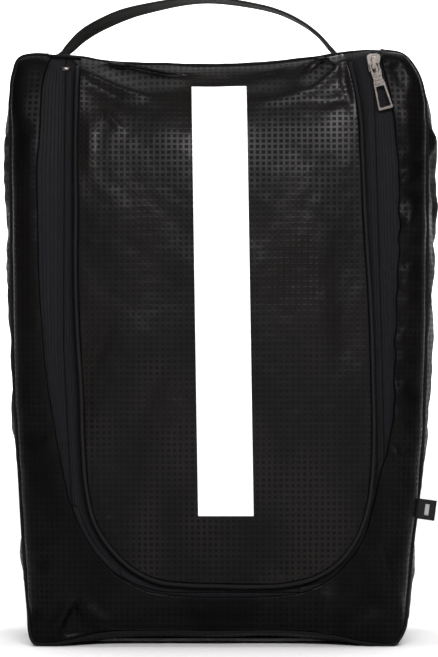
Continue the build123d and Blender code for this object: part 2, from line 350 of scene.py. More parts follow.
def ripstop(name, dark, light, rough=0.40, grid=1.0, pitch=0.00335, spec=0.5, seed=0.0):
    n = Nodes(name)
    vec, u, v = n.uv()
    cu, cv = cell(n, u, pitch), cell(n, v, pitch)
    # square hollows between the raised ripstop threads
    m = n.math("MULTIPLY", n.ramp(cu, 0.44, 0.72, 1.0, 0.0), n.ramp(cv, 0.44, 0.72, 1.0, 0.0))
    # the plain weave in between, and its uneven threads
    wu = n.math("SINE", n.math("MULTIPLY", u, 2 * math.pi / 0.00042))
    wv = n.math("SINE", n.math("MULTIPLY", v, 2 * math.pi / 0.00042))
    weave = n.math("MULTIPLY", wu, wv)
    blot = n.noise(vec, 55.0, 3.0)
    fine = n.noise(vec, 520.0, 2.0)
    light_f = n.math("MULTIPLY", n.math("SUBTRACT", 1.0, n.math("MULTIPLY", m, grid)), n.ramp(blot, 0.2, 0.8, 0.72, 1.0))
    light_f = n.math("MULTIPLY", light_f, n.ramp(fine, 0.25, 0.75, 0.85, 1.0))
    # painted sheen and shade: a broad slanting noise lightens and darkens the colour in long streaks, standing in for
    # the satin sheen of small folds; the same noise also sways the roughness
    slant = n.new("ShaderNodeMapping")
    slant.inputs["Rotation"].default_value = (0, 0, math.radians(-28))
    slant.inputs["Scale"].default_value = (1.0, 0.42, 1.0)
    n.link(vec, slant.inputs["Vector"])
    fold_sheen = n.noise(slant.outputs[0], 26.0, 1.5, 0.45)
    light_f = n.math("MULTIPLY", light_f, n.ramp(fold_sheen, 0.36, 0.64, 0.30, 1.55))
    col = n.mix(light_f, dark, light)
    rgh = n.math("ADD", n.math("MULTIPLY", m, 0.24 * grid), n.ramp(fold_sheen, 0.34, 0.66, rough + 0.10, rough - 0.07))
    nb = n.bump(n.math("SUBTRACT", n.math("MULTIPLY", weave, 0.03), n.math("MULTIPLY", m, grid)), 0.00006, 0.6)
    nb = n.bump(n.noise(vec, 110.0, 2.0), 0.0006, 0.35, nb)
    return n.done(col, rgh, nb, Specular_IOR_Level=spec)


def cloth_plain(name, dark, light, rough, pitch=0.0006, bump=0.0001, spec=0.4, sheen=0.0):
    n = Nodes(name)
    vec, u, v = n.uv()
    wu = n.math("SINE", n.math("MULTIPLY", n.math("ADD", u, v), 2 * math.pi / pitch))
    wv = n.math("SINE", n.math("MULTIPLY", v, 2 * math.pi / (pitch * 0.8)))
    w = n.math("MULTIPLY_ADD", n.math("MULTIPLY", wu, wv), 0.5, 0.5)
    blot = n.noise(vec, 260.0, 4.0, 0.6)
    col = n.mix(n.math("MULTIPLY", n.math("MULTIPLY_ADD", w, 0.4, 0.6), n.ramp(blot, 0.25, 0.75, 0.6, 1.0)), dark, light)
    nb = n.bump(w, bump, 0.9)
    nb = n.bump(blot, bump * 2, 0.5, nb)
    kw = {"Specular_IOR_Level": spec}
    if sheen:
        kw["Sheen_Weight"] = sheen
        kw["Sheen_Roughness"] = 0.5
    return n.done(col, n.ramp(blot, 0.2, 0.8, rough - 0.05, rough + 0.05), nb, **kw)


def tape_cloth(name, dark, light, spec):
    """Knitted tape: ribs along it, each a row of slanting stitches."""
    n = Nodes(name)
    vec, u, v = n.uv()
    zig = n.math("MULTIPLY", n.math("ABSOLUTE", n.math("SUBTRACT", n.math("FRACT", n.math("DIVIDE", u, 0.0044)), 0.5)), 0.0044)
    st = n.math("MULTIPLY_ADD", n.math("SINE", n.math("MULTIPLY", n.math("ADD", v, zig), 2 * math.pi / 0.0015)), 0.5, 0.5)
    groove = n.ramp(cell(n, u, 0.0022), 0.62, 1.0)
    blot = n.noise(vec, 260.0, 4.0, 0.6)
    f = n.math("MULTIPLY", n.math("MULTIPLY_ADD", st, 0.5, 0.5), n.math("MULTIPLY_ADD", groove, -0.42, 1.0))
    col = n.mix(n.math("MULTIPLY", f, n.ramp(blot, 0.25, 0.75, 0.6, 1.1)), dark, light)
    nb = n.bump(n.math("SUBTRACT", n.math("MULTIPLY", st, 0.5), groove), 0.00014, 0.9)
    nb = n.bump(blot, 0.00022, 0.5, nb)
    return n.done(col, n.ramp(blot, 0.2, 0.8, 0.50, 0.60), nb, Specular_IOR_Level=spec)


def webbing(name):
    n = Nodes(name)
    vec, u, v = n.uv()                      # u across the strap, v along it
    # chevron ribs: the phase runs along the strap and swings from side to side
    zig = n.math("MULTIPLY", n.math("ABSOLUTE", n.math("SUBTRACT", n.math("FRACT", n.math("DIVIDE", u, 0.005)), 0.5)), 0.0035)
    ribs = n.math("SINE", n.math("MULTIPLY", n.math("ADD", v, zig), 2 * math.pi / 0.0016))
    yarn = n.math("SINE", n.math("MULTIPLY", u, 2 * math.pi / 0.00083))
    h = n.math("MULTIPLY_ADD", ribs, 0.35, n.math("MULTIPLY_ADD", yarn, 0.15, 0.5))
    blot = n.noise(vec, 420.0, 4.0, 0.6)
    col = n.mix(n.math("MULTIPLY", h, n.ramp(blot, 0.25, 0.8, 0.5, 1.2)), (0.004, 0.0038, 0.0032), (0.020, 0.0188, 0.0155))
    nb = n.bump(h, 0.00028, 1.0)
    nb = n.bump(blot, 0.0002, 0.5, nb)
    return n.done(col, n.ramp(h, 0.2, 0.8, 0.72, 0.56), nb, Specular_IOR_Level=0.18)


def metal(name, base=(0.105, 0.095, 0.086), rough=0.26):
    n = Nodes(name)
    vec = n.obj()
    a = n.noise(vec, 900.0, 4.0, 0.65)
    b = n.noise(vec, 160.0, 2.0)
    col = n.mix(n.ramp(b, 0.35, 0.7), tuple(0.72 * c for c in base), base)
    nb = n.bump(b, 0.00004, 0.25)
    return n.done(col, n.ramp(a, 0.25, 0.75, rough - 0.04, rough + 0.08), nb, Metallic=1.0)


def plastic(name, dark, light, rough):
    n = Nodes(name)
    vec = n.obj()
    a = n.noise(vec, 700.0, 3.0)
    col = n.mix(n.ramp(a, 0.3, 0.7), dark, light)
    return n.done(col, n.ramp(a, 0.3, 0.7, rough - 0.06, rough + 0.08), n.bump(a, 0.00005, 0.5), Specular_IOR_Level=0.5)


def print_film(name):
    """White transfer film that follows the weave below it."""
    n = Nodes(name)
    vec, u, v = n.uv()
    cu, cv = cell(n, u, 0.00335), cell(n, v, 0.00335)
    m = n.math("MULTIPLY", n.ramp(cu, 0.30, 0.62, 1.0, 0.0), n.ramp(cv, 0.30, 0.62, 1.0, 0.0))
    blot = n.noise(vec, 90.0, 3.0)
    fine = n.noise(vec, 600.0, 2.0)
    col = n.mix(n.math("MULTIPLY_ADD", m, 0.30, n.ramp(fine, 0.3, 0.75, 0.0, 0.25)), (0.93, 0.93, 0.935), (0.84, 0.84, 0.85))
    nb = n.bump(n.math("MULTIPLY", m, -1.0), 0.00007, 0.6)
    return n.done(col, n.ramp(blot, 0.2, 0.8, 0.42, 0.56), nb, Specular_IOR_Level=0.4)


def board(name):
    n = Nodes(name)
    vec = n.obj()
    a = n.noise(vec, 320.0, 5.0, 0.7)
    b = n.noise(vec, 2600.0, 2.0)
    col = n.mix(n.math("MULTIPLY", n.ramp(a, 0.3, 0.7), n.ramp(b, 0.2, 0.8, 0.6, 1.0)), (0.05, 0.05, 0.052), (0.12, 0.12, 0.122))
    return n.done(col, 0.85, n.bump(b, 0.0001, 0.6), Specular_IOR_Level=0.3)


# one black ripstop in three copies: the body and side copies are coloured darker than the flap's, painted shade for the
# surround, back and gussets, which the lamps light less; they also have their own roughness, grid contrast and specular
M_RIP = ripstop("ripstop_flap", (0.0002, 0.0002, 0.0002), (0.0056, 0.0049, 0.0045), rough=0.30, grid=1.0, spec=0.085)
M_RIP2 = ripstop("ripstop_body", (0.0004, 0.0004, 0.0004), (0.0030, 0.0027, 0.0025), rough=0.34, grid=0.75, spec=0.042)
M_SIDE = ripstop("ripstop_side", (0.0004, 0.0004, 0.0004), (0.0022, 0.0019, 0.0018), rough=0.42, grid=0.70, spec=0.06)
M_LINING = cloth_plain("lining", (0.006, 0.006, 0.0063), (0.018, 0.018, 0.0185), 0.62, 0.0005, 0.00006)
M_TAPE = tape_cloth("zip_tape", (0.0008, 0.0008, 0.0010), (0.0092, 0.0090, 0.0104), 0.05)
M_PIPING = cloth_plain("piping", (0.001, 0.001, 0.001), (0.0042, 0.004, 0.004), 0.48, 0.0006, 0.00008, 0.11)
M_BINDING = cloth_plain("binding", (0.009, 0.009, 0.0095), (0.028, 0.028, 0.029), 0.75, 0.0011, 0.00016)
M_WEB = webbing("webbing")
M_METAL = metal("zip_metal")
M_COIL = plastic("coil", (0.010, 0.010, 0.011), (0.028, 0.028, 0.03), 0.35)
M_PRINT = print_film("print_white")
M_BOARD = board("board")
M_LABEL = cloth_plain("label_black", (0.002, 0.002, 0.002), (0.006, 0.006, 0.006), 0.5, 0.0004, 0.00006, 0.12)
M_MARK = cloth_plain("label_grey", (0.16, 0.16, 0.165), (0.36, 0.36, 0.37), 0.7, 0.0005, 0.0001)
M_THREAD = cloth_plain("thread", (0.010, 0.010, 0.010), (0.04, 0.04, 0.04), 0.6, 0.0004, 0.0001)

# =====================================================================================================
# lines that the panels share (x, z in mm; all U shapes run from the top left, round the bottom, to the top right)
# =====================================================================================================
FLAP_EDGE = [(-79.2, 337.4), (-79.8, 322), (-80.3, 300), (-80.4, 277), (-80.0, 250), (-80.2, 216), (-79.2, 181.6), (-77.0, 146),
             (-75.9, 113), (-74.0, 90), (-69.3, 71), (-60.5, 57), (-49.1, 46), (-35.1, 38.9), (-18, 36.7), (0.9, 36.2),
             (20, 35.8), (38, 36.7), (56.0, 41.6), (68.3, 50.2), (78, 64.0), (83.7, 80.6), (86.0, 98.7), (86.8, 120), (86.4, 146),
             (84.7, 198.6), (83.0, 224.7), (81.5, 250.8), (80.3, 280), (79.0, 304), (77.0, 317), (74.3, 328), (71.0, 338.0)]
SURROUND = [  # inner folded edge, outer seam
    ((-96.3, 337.0), (-97.6, 337.4)), ((-97.6, 333.0), (-106.5, 337.6)), ((-99.0, 328.0), (-113.4, 336.0)),
    ((-100.6, 320.0), (-117.4, 326.5)), ((-101.3, 308.0), (-118.7, 315.0)), ((-101.6, 296.0), (-118.9, 303.0)),
    ((-103.4, 274.0), (-118.8, 278.0)), ((-103.1, 251.0), (-118.5, 253.0)), ((-102.7, 225.0), (-118.2, 226.0)),
    ((-101.0, 190.0), (-117.8, 193.0)), ((-97.6, 152.0), (-117.0, 155.0)), ((-92.9, 122.0), (-115.4, 122.0)),
    ((-89.1, 101.5), (-113.7, 97.0)), ((-83.5, 79.5), (-112.2, 70.0)), ((-75.3, 61.7), (-110.5, 44.0)),
    ((-67.9, 51.0), (-108.5, 20.0)), ((-58.2, 41.5), (-104.8, 2.6)), ((-44.6, 33.4), (-90.0, 2.8)),
    ((-30.4, 30.0), (-66.0, 7.8)), ((-12.0, 28.8), (-35.0, 9.2)), ((10.0, 28.6), (-2.0, 8.8)),
    ((30.0, 29.0), (35.0, 9.2)), ((46.0, 31.0), (62.0, 7.0)), ((60.0, 36.9), (84.0, 2.6)),
    ((71.4, 46.4), (98.5, 1.9)), ((81.2, 60.4), (105.0, 10.0)), ((87.2, 79.0), (107.6, 30.0)),
    ((91.0, 97.0), (110.5, 60.0)), ((96.2, 114.5), (114.0, 88.0)), ((99.0, 132.0), (115.8, 112.0)),
    ((99.6, 153.4), (117.2, 145.0)), ((100.2, 180.0), (118.0, 180.0)), ((101.0, 200.0), (118.4, 205.0)),
    ((102.2, 225.0), (118.6, 230.0)), ((102.2, 251.0), (118.7, 257.0)), ((101.6, 275.0), (118.6, 283.0)),
    ((100.3, 290.0), (118.2, 300.0)), ((98.9, 304.0), (117.0, 315.0)), ((96.8, 316.0), (113.2, 327.5)),
    ((94.0, 327.0), (105.5, 337.4)), ((91.4, 338.6), (93.2, 340.0))]
TOP_SEAM = [(93.2, 340.0), (84.5, 340.2), (76.0, 339.6), (67.3, 338.5), (58.7, 336.9), (50.1, 336.0), (41.5, 335.0), (32.9, 333.9),
            (15.8, 332.8), (-1.4, 332.2), (-18.6, 332.2), (-27.2, 332.7), (-44.4, 332.9), (-61.6, 333.9), (-70.2, 335.1),
            (-78.8, 336.6), (-88.0, 337.3), (-97.6, 337.6)]
SEAM_Y = -42.0
ZIP_U = [(-87.6, 346.0, 0), (-88.4, 172.0, 200.0), (-81.6, 31.0, 60.0), (92.6, 31.0, 50.0), (94.0, 112.0, 250.0), (87.4, 346.0, 0)]

top_line = catmull(TOP_SEAM, 16)
order = np.argsort(top_line[:, 0])
TOPX, TOPZ = top_line[order, 0], top_line[order, 1]


def z_top(x):
    return np.interp(x, TOPX, TOPZ)


FE = resample(catmull(FLAP_EDGE, 20), 640)


FE_L = [(0, -42.6), (1.5, -45.2), (5, -48.8), (10, -51.2), (18, -53.2), (32, -55.2), (50, -57.5), (66, -59.6), (78, -60.7), (90, -61.1),
        (140, -61.2), (230, -60.2), (270, -59.2), (305, -58.2)]
FE_R = [(0, -43.0), (1.0, -49.5), (2.5, -53.8), (5, -56.2), (10, -57.4), (20, -58.1), (32, -58.7), (50, -60.0), (70, -61.1), (85, -61.4),
        (140, -61.2), (230, -60.2), (270, -59.2), (305, -58.2)]


def fe_depth(z, x):
    """Depth of the flap's edge: on the front face, and back to the seam at its two top ends."""
    d = z_top(x) - z
    w = smoothstep(-40, 55, x)
    return interp(FE_L, d) * (1 - w) + interp(FE_R, d) * w


# =====================================================================================================
# flap: the whole front panel, hung from the top seam
# =====================================================================================================
MID = [(0, -42.4), (2.5, -45.4), (7, -49.0), (14, -53.2), (24, -58.0), (34, -61.6), (44, -63.9), (54, -65.2), (66, -65.9), (90, -66.2),
       (140, -66.0), (190, -65.2), (235, -63.6), (268, -61.6), (288, -60.0), (297, -58.3)]


def flap_y(X, Z):
    """Depth of the flap's outside face, before its folds."""
    d = np.maximum(z_top(X) - Z, 0)
    xl = np.interp(-Z, -FE[:FE[:, 1].argmin(), 1], FE[:FE[:, 1].argmin(), 0])
    xr = np.interp(Z, FE[FE[:, 1].argmin():, 1], FE[FE[:, 1].argmin():, 0])
    xl, xr = np.minimum(xl, -40), np.maximum(xr, 40)
    xn = np.clip((X - (xl + xr) / 2) / ((xr - xl) / 2), -1, 1)
    w = np.abs(xn) ** 2.3
    mid = interp(MID, d)
    side = fe_depth(Z, X)
    y = mid * (1 - w) + side * w
    # the lower edge pulls back to the piping
    low = np.clip((Z - 36.0) / 40.0, 0, 1)
    y = y * 1.0
    y = np.where(Z < 76, -58.4 + (y + 58.4) * (1 - (1 - low) ** 2.2), y)
    return y


def flap_folds(X, Z):
    """Folds and dimples of the flap, in mm out of the face."""
    h = np.zeros(X.shape)
    # swags from the two top corners into the sagging middle
    h += ridge(X, Z, [(-80, 331), (-68, 326.5), (-54, 320), (-40, 315.2), (-26, 314)], 2.8, 2.8, 5.0, (0.02, 0.5))
    h -= ridge(X, Z, [(-73, 333.5), (-58, 329.2), (-43, 325.6), (-26, 323.4), (-6, 324.0)], 5.4, 3.4, 4.4, (0.2, 0.5))
    h += ridge(X, Z, [(-50, 334), (-40, 331.2), (-27, 328.8), (-10, 327.4)], 1.8, 1.6, 2.2, (0.3, 0.5))
    h -= ridge(X, Z, [(-78, 323), (-67, 317.0), (-55, 309.5), (-47, 303)], 0.9, 3.6, 5.0, (0.2, 0.5))
    h += ridge(X, Z, [(-67, 308), (-59.5, 299.5), (-51.5, 291)], 0.75, 1.7, 2.6, (0.3, 0.4))
    h += ridge(X, Z, [(-76, 306), (-75, 286), (-74, 262)], 0.6, 5.5, 5.5, (0.3, 0.4))
    # right corner: a deep dimple, with the fold that sweeps down and across from it
    h -= ridge(X, Z, [(62, 336), (57, 331), (51, 325), (46.5, 319)], 5.0, 4.2, 4.6, (0.05, 0.45))
    h += ridge(X, Z, [(69, 337), (64.5, 329.5), (56, 321.5), (42, 316.0), (26, 313.0), (8, 312)], 1.9, 5.2, 6.0, (0.02, 0.45))
    h -= ridge(X, Z, [(72.5, 334), (72.0, 324), (74.0, 312), (77.5, 300)], 1.7, 2.8, 3.0, (0.1, 0.4))
    h -= ridge(X, Z, [(44, 328), (30, 323.5), (14, 320.5), (-4, 321)], 1.6, 4.4, 4.6, (0.3, 0.5))
    h += ridge(X, Z, [(40, 333), (30, 330), (16, 328)], 0.9, 2.6, 2.6, (0.3, 0.5))
    h -= ridge(X, Z, [(73, 314), (64, 310), (52, 309)], 1.1, 3.6, 4.0, (0.25, 0.5))
    # broad, soft waves lower down
    h += ridge(X, Z, [(-40, 205), (-55, 165), (-66, 130), (-72, 105)], 1.5, 11, 13, (0.4, 0.3))
    h -= ridge(X, Z, [(-20, 190), (-38, 150), (-52, 112), (-58, 88)], 1.2, 10, 12, (0.4, 0.4))
    h -= ridge(X, Z, [(66, 250), (70, 200), (72, 150)], 1.0, 9, 8, (0.4, 0.4))
    h += ridge(X, Z, [(54, 240), (58, 190), (60, 140)], 0.8, 9, 9, (0.4, 0.4))
    h += ridge(X, Z, [(-18, 100), (-8, 78), (-2, 58)], 0.9, 9, 9, (0.4, 0.3))
    # gathers along the lower edge
    for x0, z0, l, a, s in ((24, 39, 16, 0.9, 2.0), (36.0, 39.5, 22, 1.0, 3.6), (47.0, 41, 17, 1.1, 3.0), (54, 43, 17, -0.7, 3.0),
                            (41.5, 40, 20, -0.5, 3.0), (60, 48, 12, 0.9, 1.8), (12, 37, 12, 0.7, 2.0), (2, 36.5, 9, 0.5, 1.6),
                            (-10, 37, 10, 0.6, 1.9), (-24, 38, 12, 0.8, 2.0), (-36, 40, 13, -0.7, 2.0), (-45, 44, 13, 0.8, 2.0),
                            (68, 55, 12, 0.8, 1.8), (76, 67, 11, 0.6, 1.8)):
        h -= ridge(X, Z, [(x0, z0 - 2), (x0 + 0.5 - 0.006 * x0 * l, z0 + l)], 0.5 * a, 1.25 * s, 1.25 * s, (0.15, 0.7))
    for x0, z0, a in ((-63.5, 63, 0.75), (-67.5, 71, 0.8), (-71.5, 80, 0.5), (-57, 56, 0.6), (-74, 96, 0.35), (-75.5, 116, 0.3),
                      (84, 92, 0.35), (81.5, 79, 0.45), (85, 110, 0.25)):
        dx = 10 if x0 < 0 else -10
        h += ridge(X, Z, [(x0 - dx * 0.1, z0 - 0.4), (x0 + dx, z0 + 4.5)], a, 1.7, 2.4, (0.05, 0.7))
    h += (0.24 + 0.16 * smoothstep(250, 320, Z)) * waves(X, Z, 16, 24, 60, 11) + 0.06 * waves(X, Z, 16, 8, 16, 12)
    return h


def edge_fade(D, a, b):
    return smoothstep(a, b, D)


# distance to the flap's free edge, for fading the folds into the piping
def dist_to(X, Z, line):
    P = np.stack([X.ravel(), Z.ravel()], 1)
    out = np.full(len(P), 1e9)
    L = line[::2, :2]
    for i in range(0, len(P), 8000):
        out[i:i + 8000] = np.sqrt(((P[i:i + 8000, None] - L[None]) ** 2).sum(2).min(1))
    return out.reshape(X.shape)


def coons(top, bottom, left, right, nu, nv, vmap=None):
    """top and bottom run left to right, left and right run top to bottom."""
    T, B = resample(top, nu), resample(bottom, nu)
    v = np.linspace(0, 1, nv) if vmap is None else vmap(np.linspace(0, 1, nv))

    def along(line):
        d = arclen(line)
        return np.stack([np.interp(v * d[-1], d, line[:, k]) for k in range(line.shape[1])], 1)

    L, R = along(left), along(right)
    u = np.linspace(0, 1, nu)
    u, vv = u[None, :, None], v[:, None, None]
    G = ((1 - vv) * T[None] + vv * B[None] + (1 - u) * L[:, None] + u * R[:, None]
         - (1 - u) * (1 - vv) * T[0] - u * (1 - vv) * T[-1] - (1 - u) * vv * B[0] - u * vv * B[-1])
    return G


ia = int(np.argmin(np.abs(FE[:, 0] + 60) + np.abs(FE[:, 1] - 56)))
ib = int(np.argmin(np.abs(FE[:, 0] - 73) + np.abs(FE[:, 1] - 56)))
tx = np.linspace(FE[0, 0], FE[-1, 0], 200)
flap_top = np.stack([tx, z_top(tx)], 1)
NU, NV = 150, 268
XZ = coons(flap_top, FE[ia:ib + 1], FE[:ia + 1], FE[ib:][::-1], NU, NV, lambda t: 0.82 * t + 0.18 * t**2.4)
X, Z = XZ[..., 0], XZ[..., 1]
D_edge = dist_to(X, Z, FE)
H = flap_folds(X, Z) * np.clip(edge_fade(D_edge, 0.0, 7.0) * 0.82 + 0.18, 0, 1)
H *= smoothstep(0.0, 5.0, z_top(X) - Z)
Y = flap_y(X, Z)
# the folds push out along the face's own slope, so that they don't shear near the top
gy = np.gradient(Y, axis=0) / (np.gradient(Z, axis=0) - 1e-6)
slope = 1 / np.sqrt(1 + np.clip(gy, -3, 3) ** 2)
FLAP = np.stack([X, Y - H * slope, Z + H * np.clip(gy, -1.2, 1.2) * slope * -1.0], -1)


def panel_uv(G):
    """UVs in mm: x straight across, and the length down the panel's own slope."""
    d = np.linalg.norm(np.diff(G[:, :, 1:], axis=0), axis=2)
    s = np.vstack([np.zeros((1, G.shape[1])), np.cumsum(d, 0)])
    mid = s[:, G.shape[1] // 2][:, None]
    # arc length down the panel everywhere, counted from its top row
    base = s - s[-1:] * 0
    return np.stack([G[..., 0], -(base * 1.0)], -1), mid


flap_uv, _ = panel_uv(FLAP)
# rows of the Coons grid aren't level, so take v from the height plus the extra length of the rolled top
extra = interp([(0, 14.0), (2.5, 11.2), (7, 8.3), (14, 6.0), (26, 3.9), (44, 2.4), (70, 1.3), (110, 0.4), (160, 0), (400, 0)], np.maximum(z_top(X) - Z, 0))
flap_uv = np.stack([FLAP[..., 0], Z + extra], -1)
FLAP_T = 1.1
flap_ob = sheet_object("front_flap", FLAP, flap_uv, M_RIP, FLAP_T, flip=True)

lin = FLAP.copy()
lin[..., 1] += FLAP_T + 0.35
k = slice(5, -5)
lining_ob = sheet_object("flap_lining_cloth", lin[k, k], flap_uv[k, k], M_LINING, 0.35, flip=True)


def on_flap(x, z, out=0.0):
    """Points on the flap's outside face at x, z."""
    x, z = np.broadcast_arrays(np.asarray(x, float), np.asarray(z, float))
    y = flap_y(x, z)
    e = 0.6
    gz = (flap_y(x, z + e) - flap_y(x, z - e)) / (2 * e)
    h = flap_folds(x, z) * np.clip(edge_fade(dist_to(x, z, FE), 0.0, 7.0) * 0.82 + 0.18, 0, 1) * smoothstep(0.0, 5.0, z_top(x) - z)
    s = 1 / np.sqrt(1 + np.clip(gz, -3, 3) ** 2)
    return np.stack([x, y - h * s - out, z - h * np.clip(gz, -1.2, 1.2) * s], -1)


# white band printed down the flap, leaning a little
BAND_T, BAND_B = (-15.6, 15.6, 319.0), (-11.8, 19.6, 75.0)
nb, mb = 30, 210
q = np.linspace(0, 1, nb)[None, :]
r = np.linspace(0, 1, mb)[:, None]
bx = (1 - r) * ((1 - q) * BAND_T[0] + q * BAND_T[1]) + r * ((1 - q) * BAND_B[0] + q * BAND_B[1])
bz = (1 - r) * BAND_T[2] + r * BAND_B[2] + 0 * q
band = on_flap(bx, bz, 0.16)
ex2 = interp([(0, 14.0), (2.5, 11.2), (7, 8.3), (14, 6.0), (26, 3.9), (44, 2.4), (70, 1.3), (110, 0.4), (160, 0), (400, 0)], np.maximum(z_top(bx) - bz, 0))
band_ob = sheet_object("printed_band", band, np.stack([bx, bz + ex2], -1), M_PRINT, 0.14, flip=True)

# piping round the flap's free edge
T2 = np.gradient(FE, axis=0)
T2 /= np.linalg.norm(T2, axis=1)[:, None]
OUT2 = np.stack([T2[:, 1], -T2[:, 0]], 1)          # away from the flap (the line runs anticlockwise seen from the front)
OUT2 = -OUT2 if (OUT2[0, 0] > 0) else OUT2
fy = fe_depth(FE[:, 1], FE[:, 0])
pip = np.stack([FE[:, 0] + OUT2[:, 0] * 1.15, fy - 0.15, FE[:, 1] + OUT2[:, 1] * 1.15], 1)
pip = pip[6:-6]
piping_ob = tube_object("flap_edge_piping", pip[::1], 1.3, M_PIPING, 10, wobble=0.05, seed=3)

# =====================================================================================================
# front surround: from the folded edge beside the zip, out and back to the front seam
# =====================================================================================================
A = np.array([a for a, b in SURROUND])
B = np.array([b for a, b in SURROUND])
both = catmull(np.hstack([A, B]), 22)
A, B = both[:, :2], both[:, 2:]
nt = len(A)


def seam_depth(x, z):
    """Depth of the front seam: it comes forward along the bottom, where the front curves under."""
    return SEAM_Y - 8.5 * smoothstep(26, 8, z) - 1.6 * smoothstep(9, 2.0, z) * smoothstep(40, 90, np.abs(x))


SE_L = [(0, -42.8), (1.5, -45.0), (5, -48.0), (10, -50.2), (18, -52.2), (32, -54.8), (42, -56.6), (50, -57.6), (58, -58.0), (72, -58.1),
        (140, -58.6), (230, -58.4), (280, -57.6), (305, -57.0)]
SE_R = [(0, -42.8), (1.0, -48.5), (2.5, -52.6), (5, -55.0), (10, -56.4), (20, -57.0), (32, -57.6), (50, -58.5), (66, -58.9),
        (140, -58.8), (230, -58.4), (280, -57.6), (305, -57.0)]


def se_depth(z, x):
    d = z_top(x) - z
    w = smoothstep(-40, 55, x)
    return interp(SE_L, d) * (1 - w) + interp(SE_R, d) * w


LS = arclen(A)
pk = waves(LS, LS * 0, 14, 9, 26, 21)
pk2 = waves(LS, LS * 0, 12, 8, 20, 22)
right_pucker = smoothstep(96, 101, A[:, 0]) * smoothstep(110, 140, A[:, 1]) * (1 - smoothstep(262, 285, A[:, 1]))
amp = 0.14 + 0.34 * right_pucker
TA = np.gradient(A, axis=0)
TA /= np.linalg.norm(TA, axis=1)[:, None] + 1e-9
NA = np.stack([TA[:, 1], -TA[:, 0]], 1)
if NA[nt // 4, 0] > 0:
    NA = -NA                                        # away from the flap
Aw = A + NA * (pk * amp)[:, None]
ya = se_depth(A[:, 1], A[:, 0]) - pk2 * amp * 0.8
yb = seam_depth(B[:, 0], B[:, 1])
nq = 34
qs = np.linspace(0, 1, nq) ** 0.9
th = qs * math.pi / 2
f = np.sin(th) ** 0.92
g = np.cos(th) ** 0.86
hem = [(4.2, 2.3), (2.4, 2.2), (0.9, 1.95), (0.15, 1.5), (-0.1, 0.9), (0.1, 0.35), (0.55, 0.05)]   # (away from flap, inward)
SUR = np.zeros((nt, nq + len(hem), 3))
for j, (o, dd) in enumerate(hem):
    SUR[:, j, 0] = Aw[:, 0] + NA[:, 0] * o
    SUR[:, j, 2] = Aw[:, 1] + NA[:, 1] * o
    SUR[:, j, 1] = ya + dd
flat_top = smoothstep(284, 300, A[:, 1])
for j in range(nq):
    gj = math.cos(th[j]) ** (0.86 - 0.44 * flat_top) if th[j] < 1.5707 else 0.0 * flat_top
    o = 1.1 * (1 - f[j])
    SUR[:, len(hem) + j, 0] = Aw[:, 0] * (1 - f[j]) + B[:, 0] * f[j] + NA[:, 0] * o
    SUR[:, len(hem) + j, 2] = Aw[:, 1] * (1 - f[j]) + B[:, 1] * f[j] + NA[:, 1] * o
    SUR[:, len(hem) + j, 1] = yb + (ya - yb) * gj


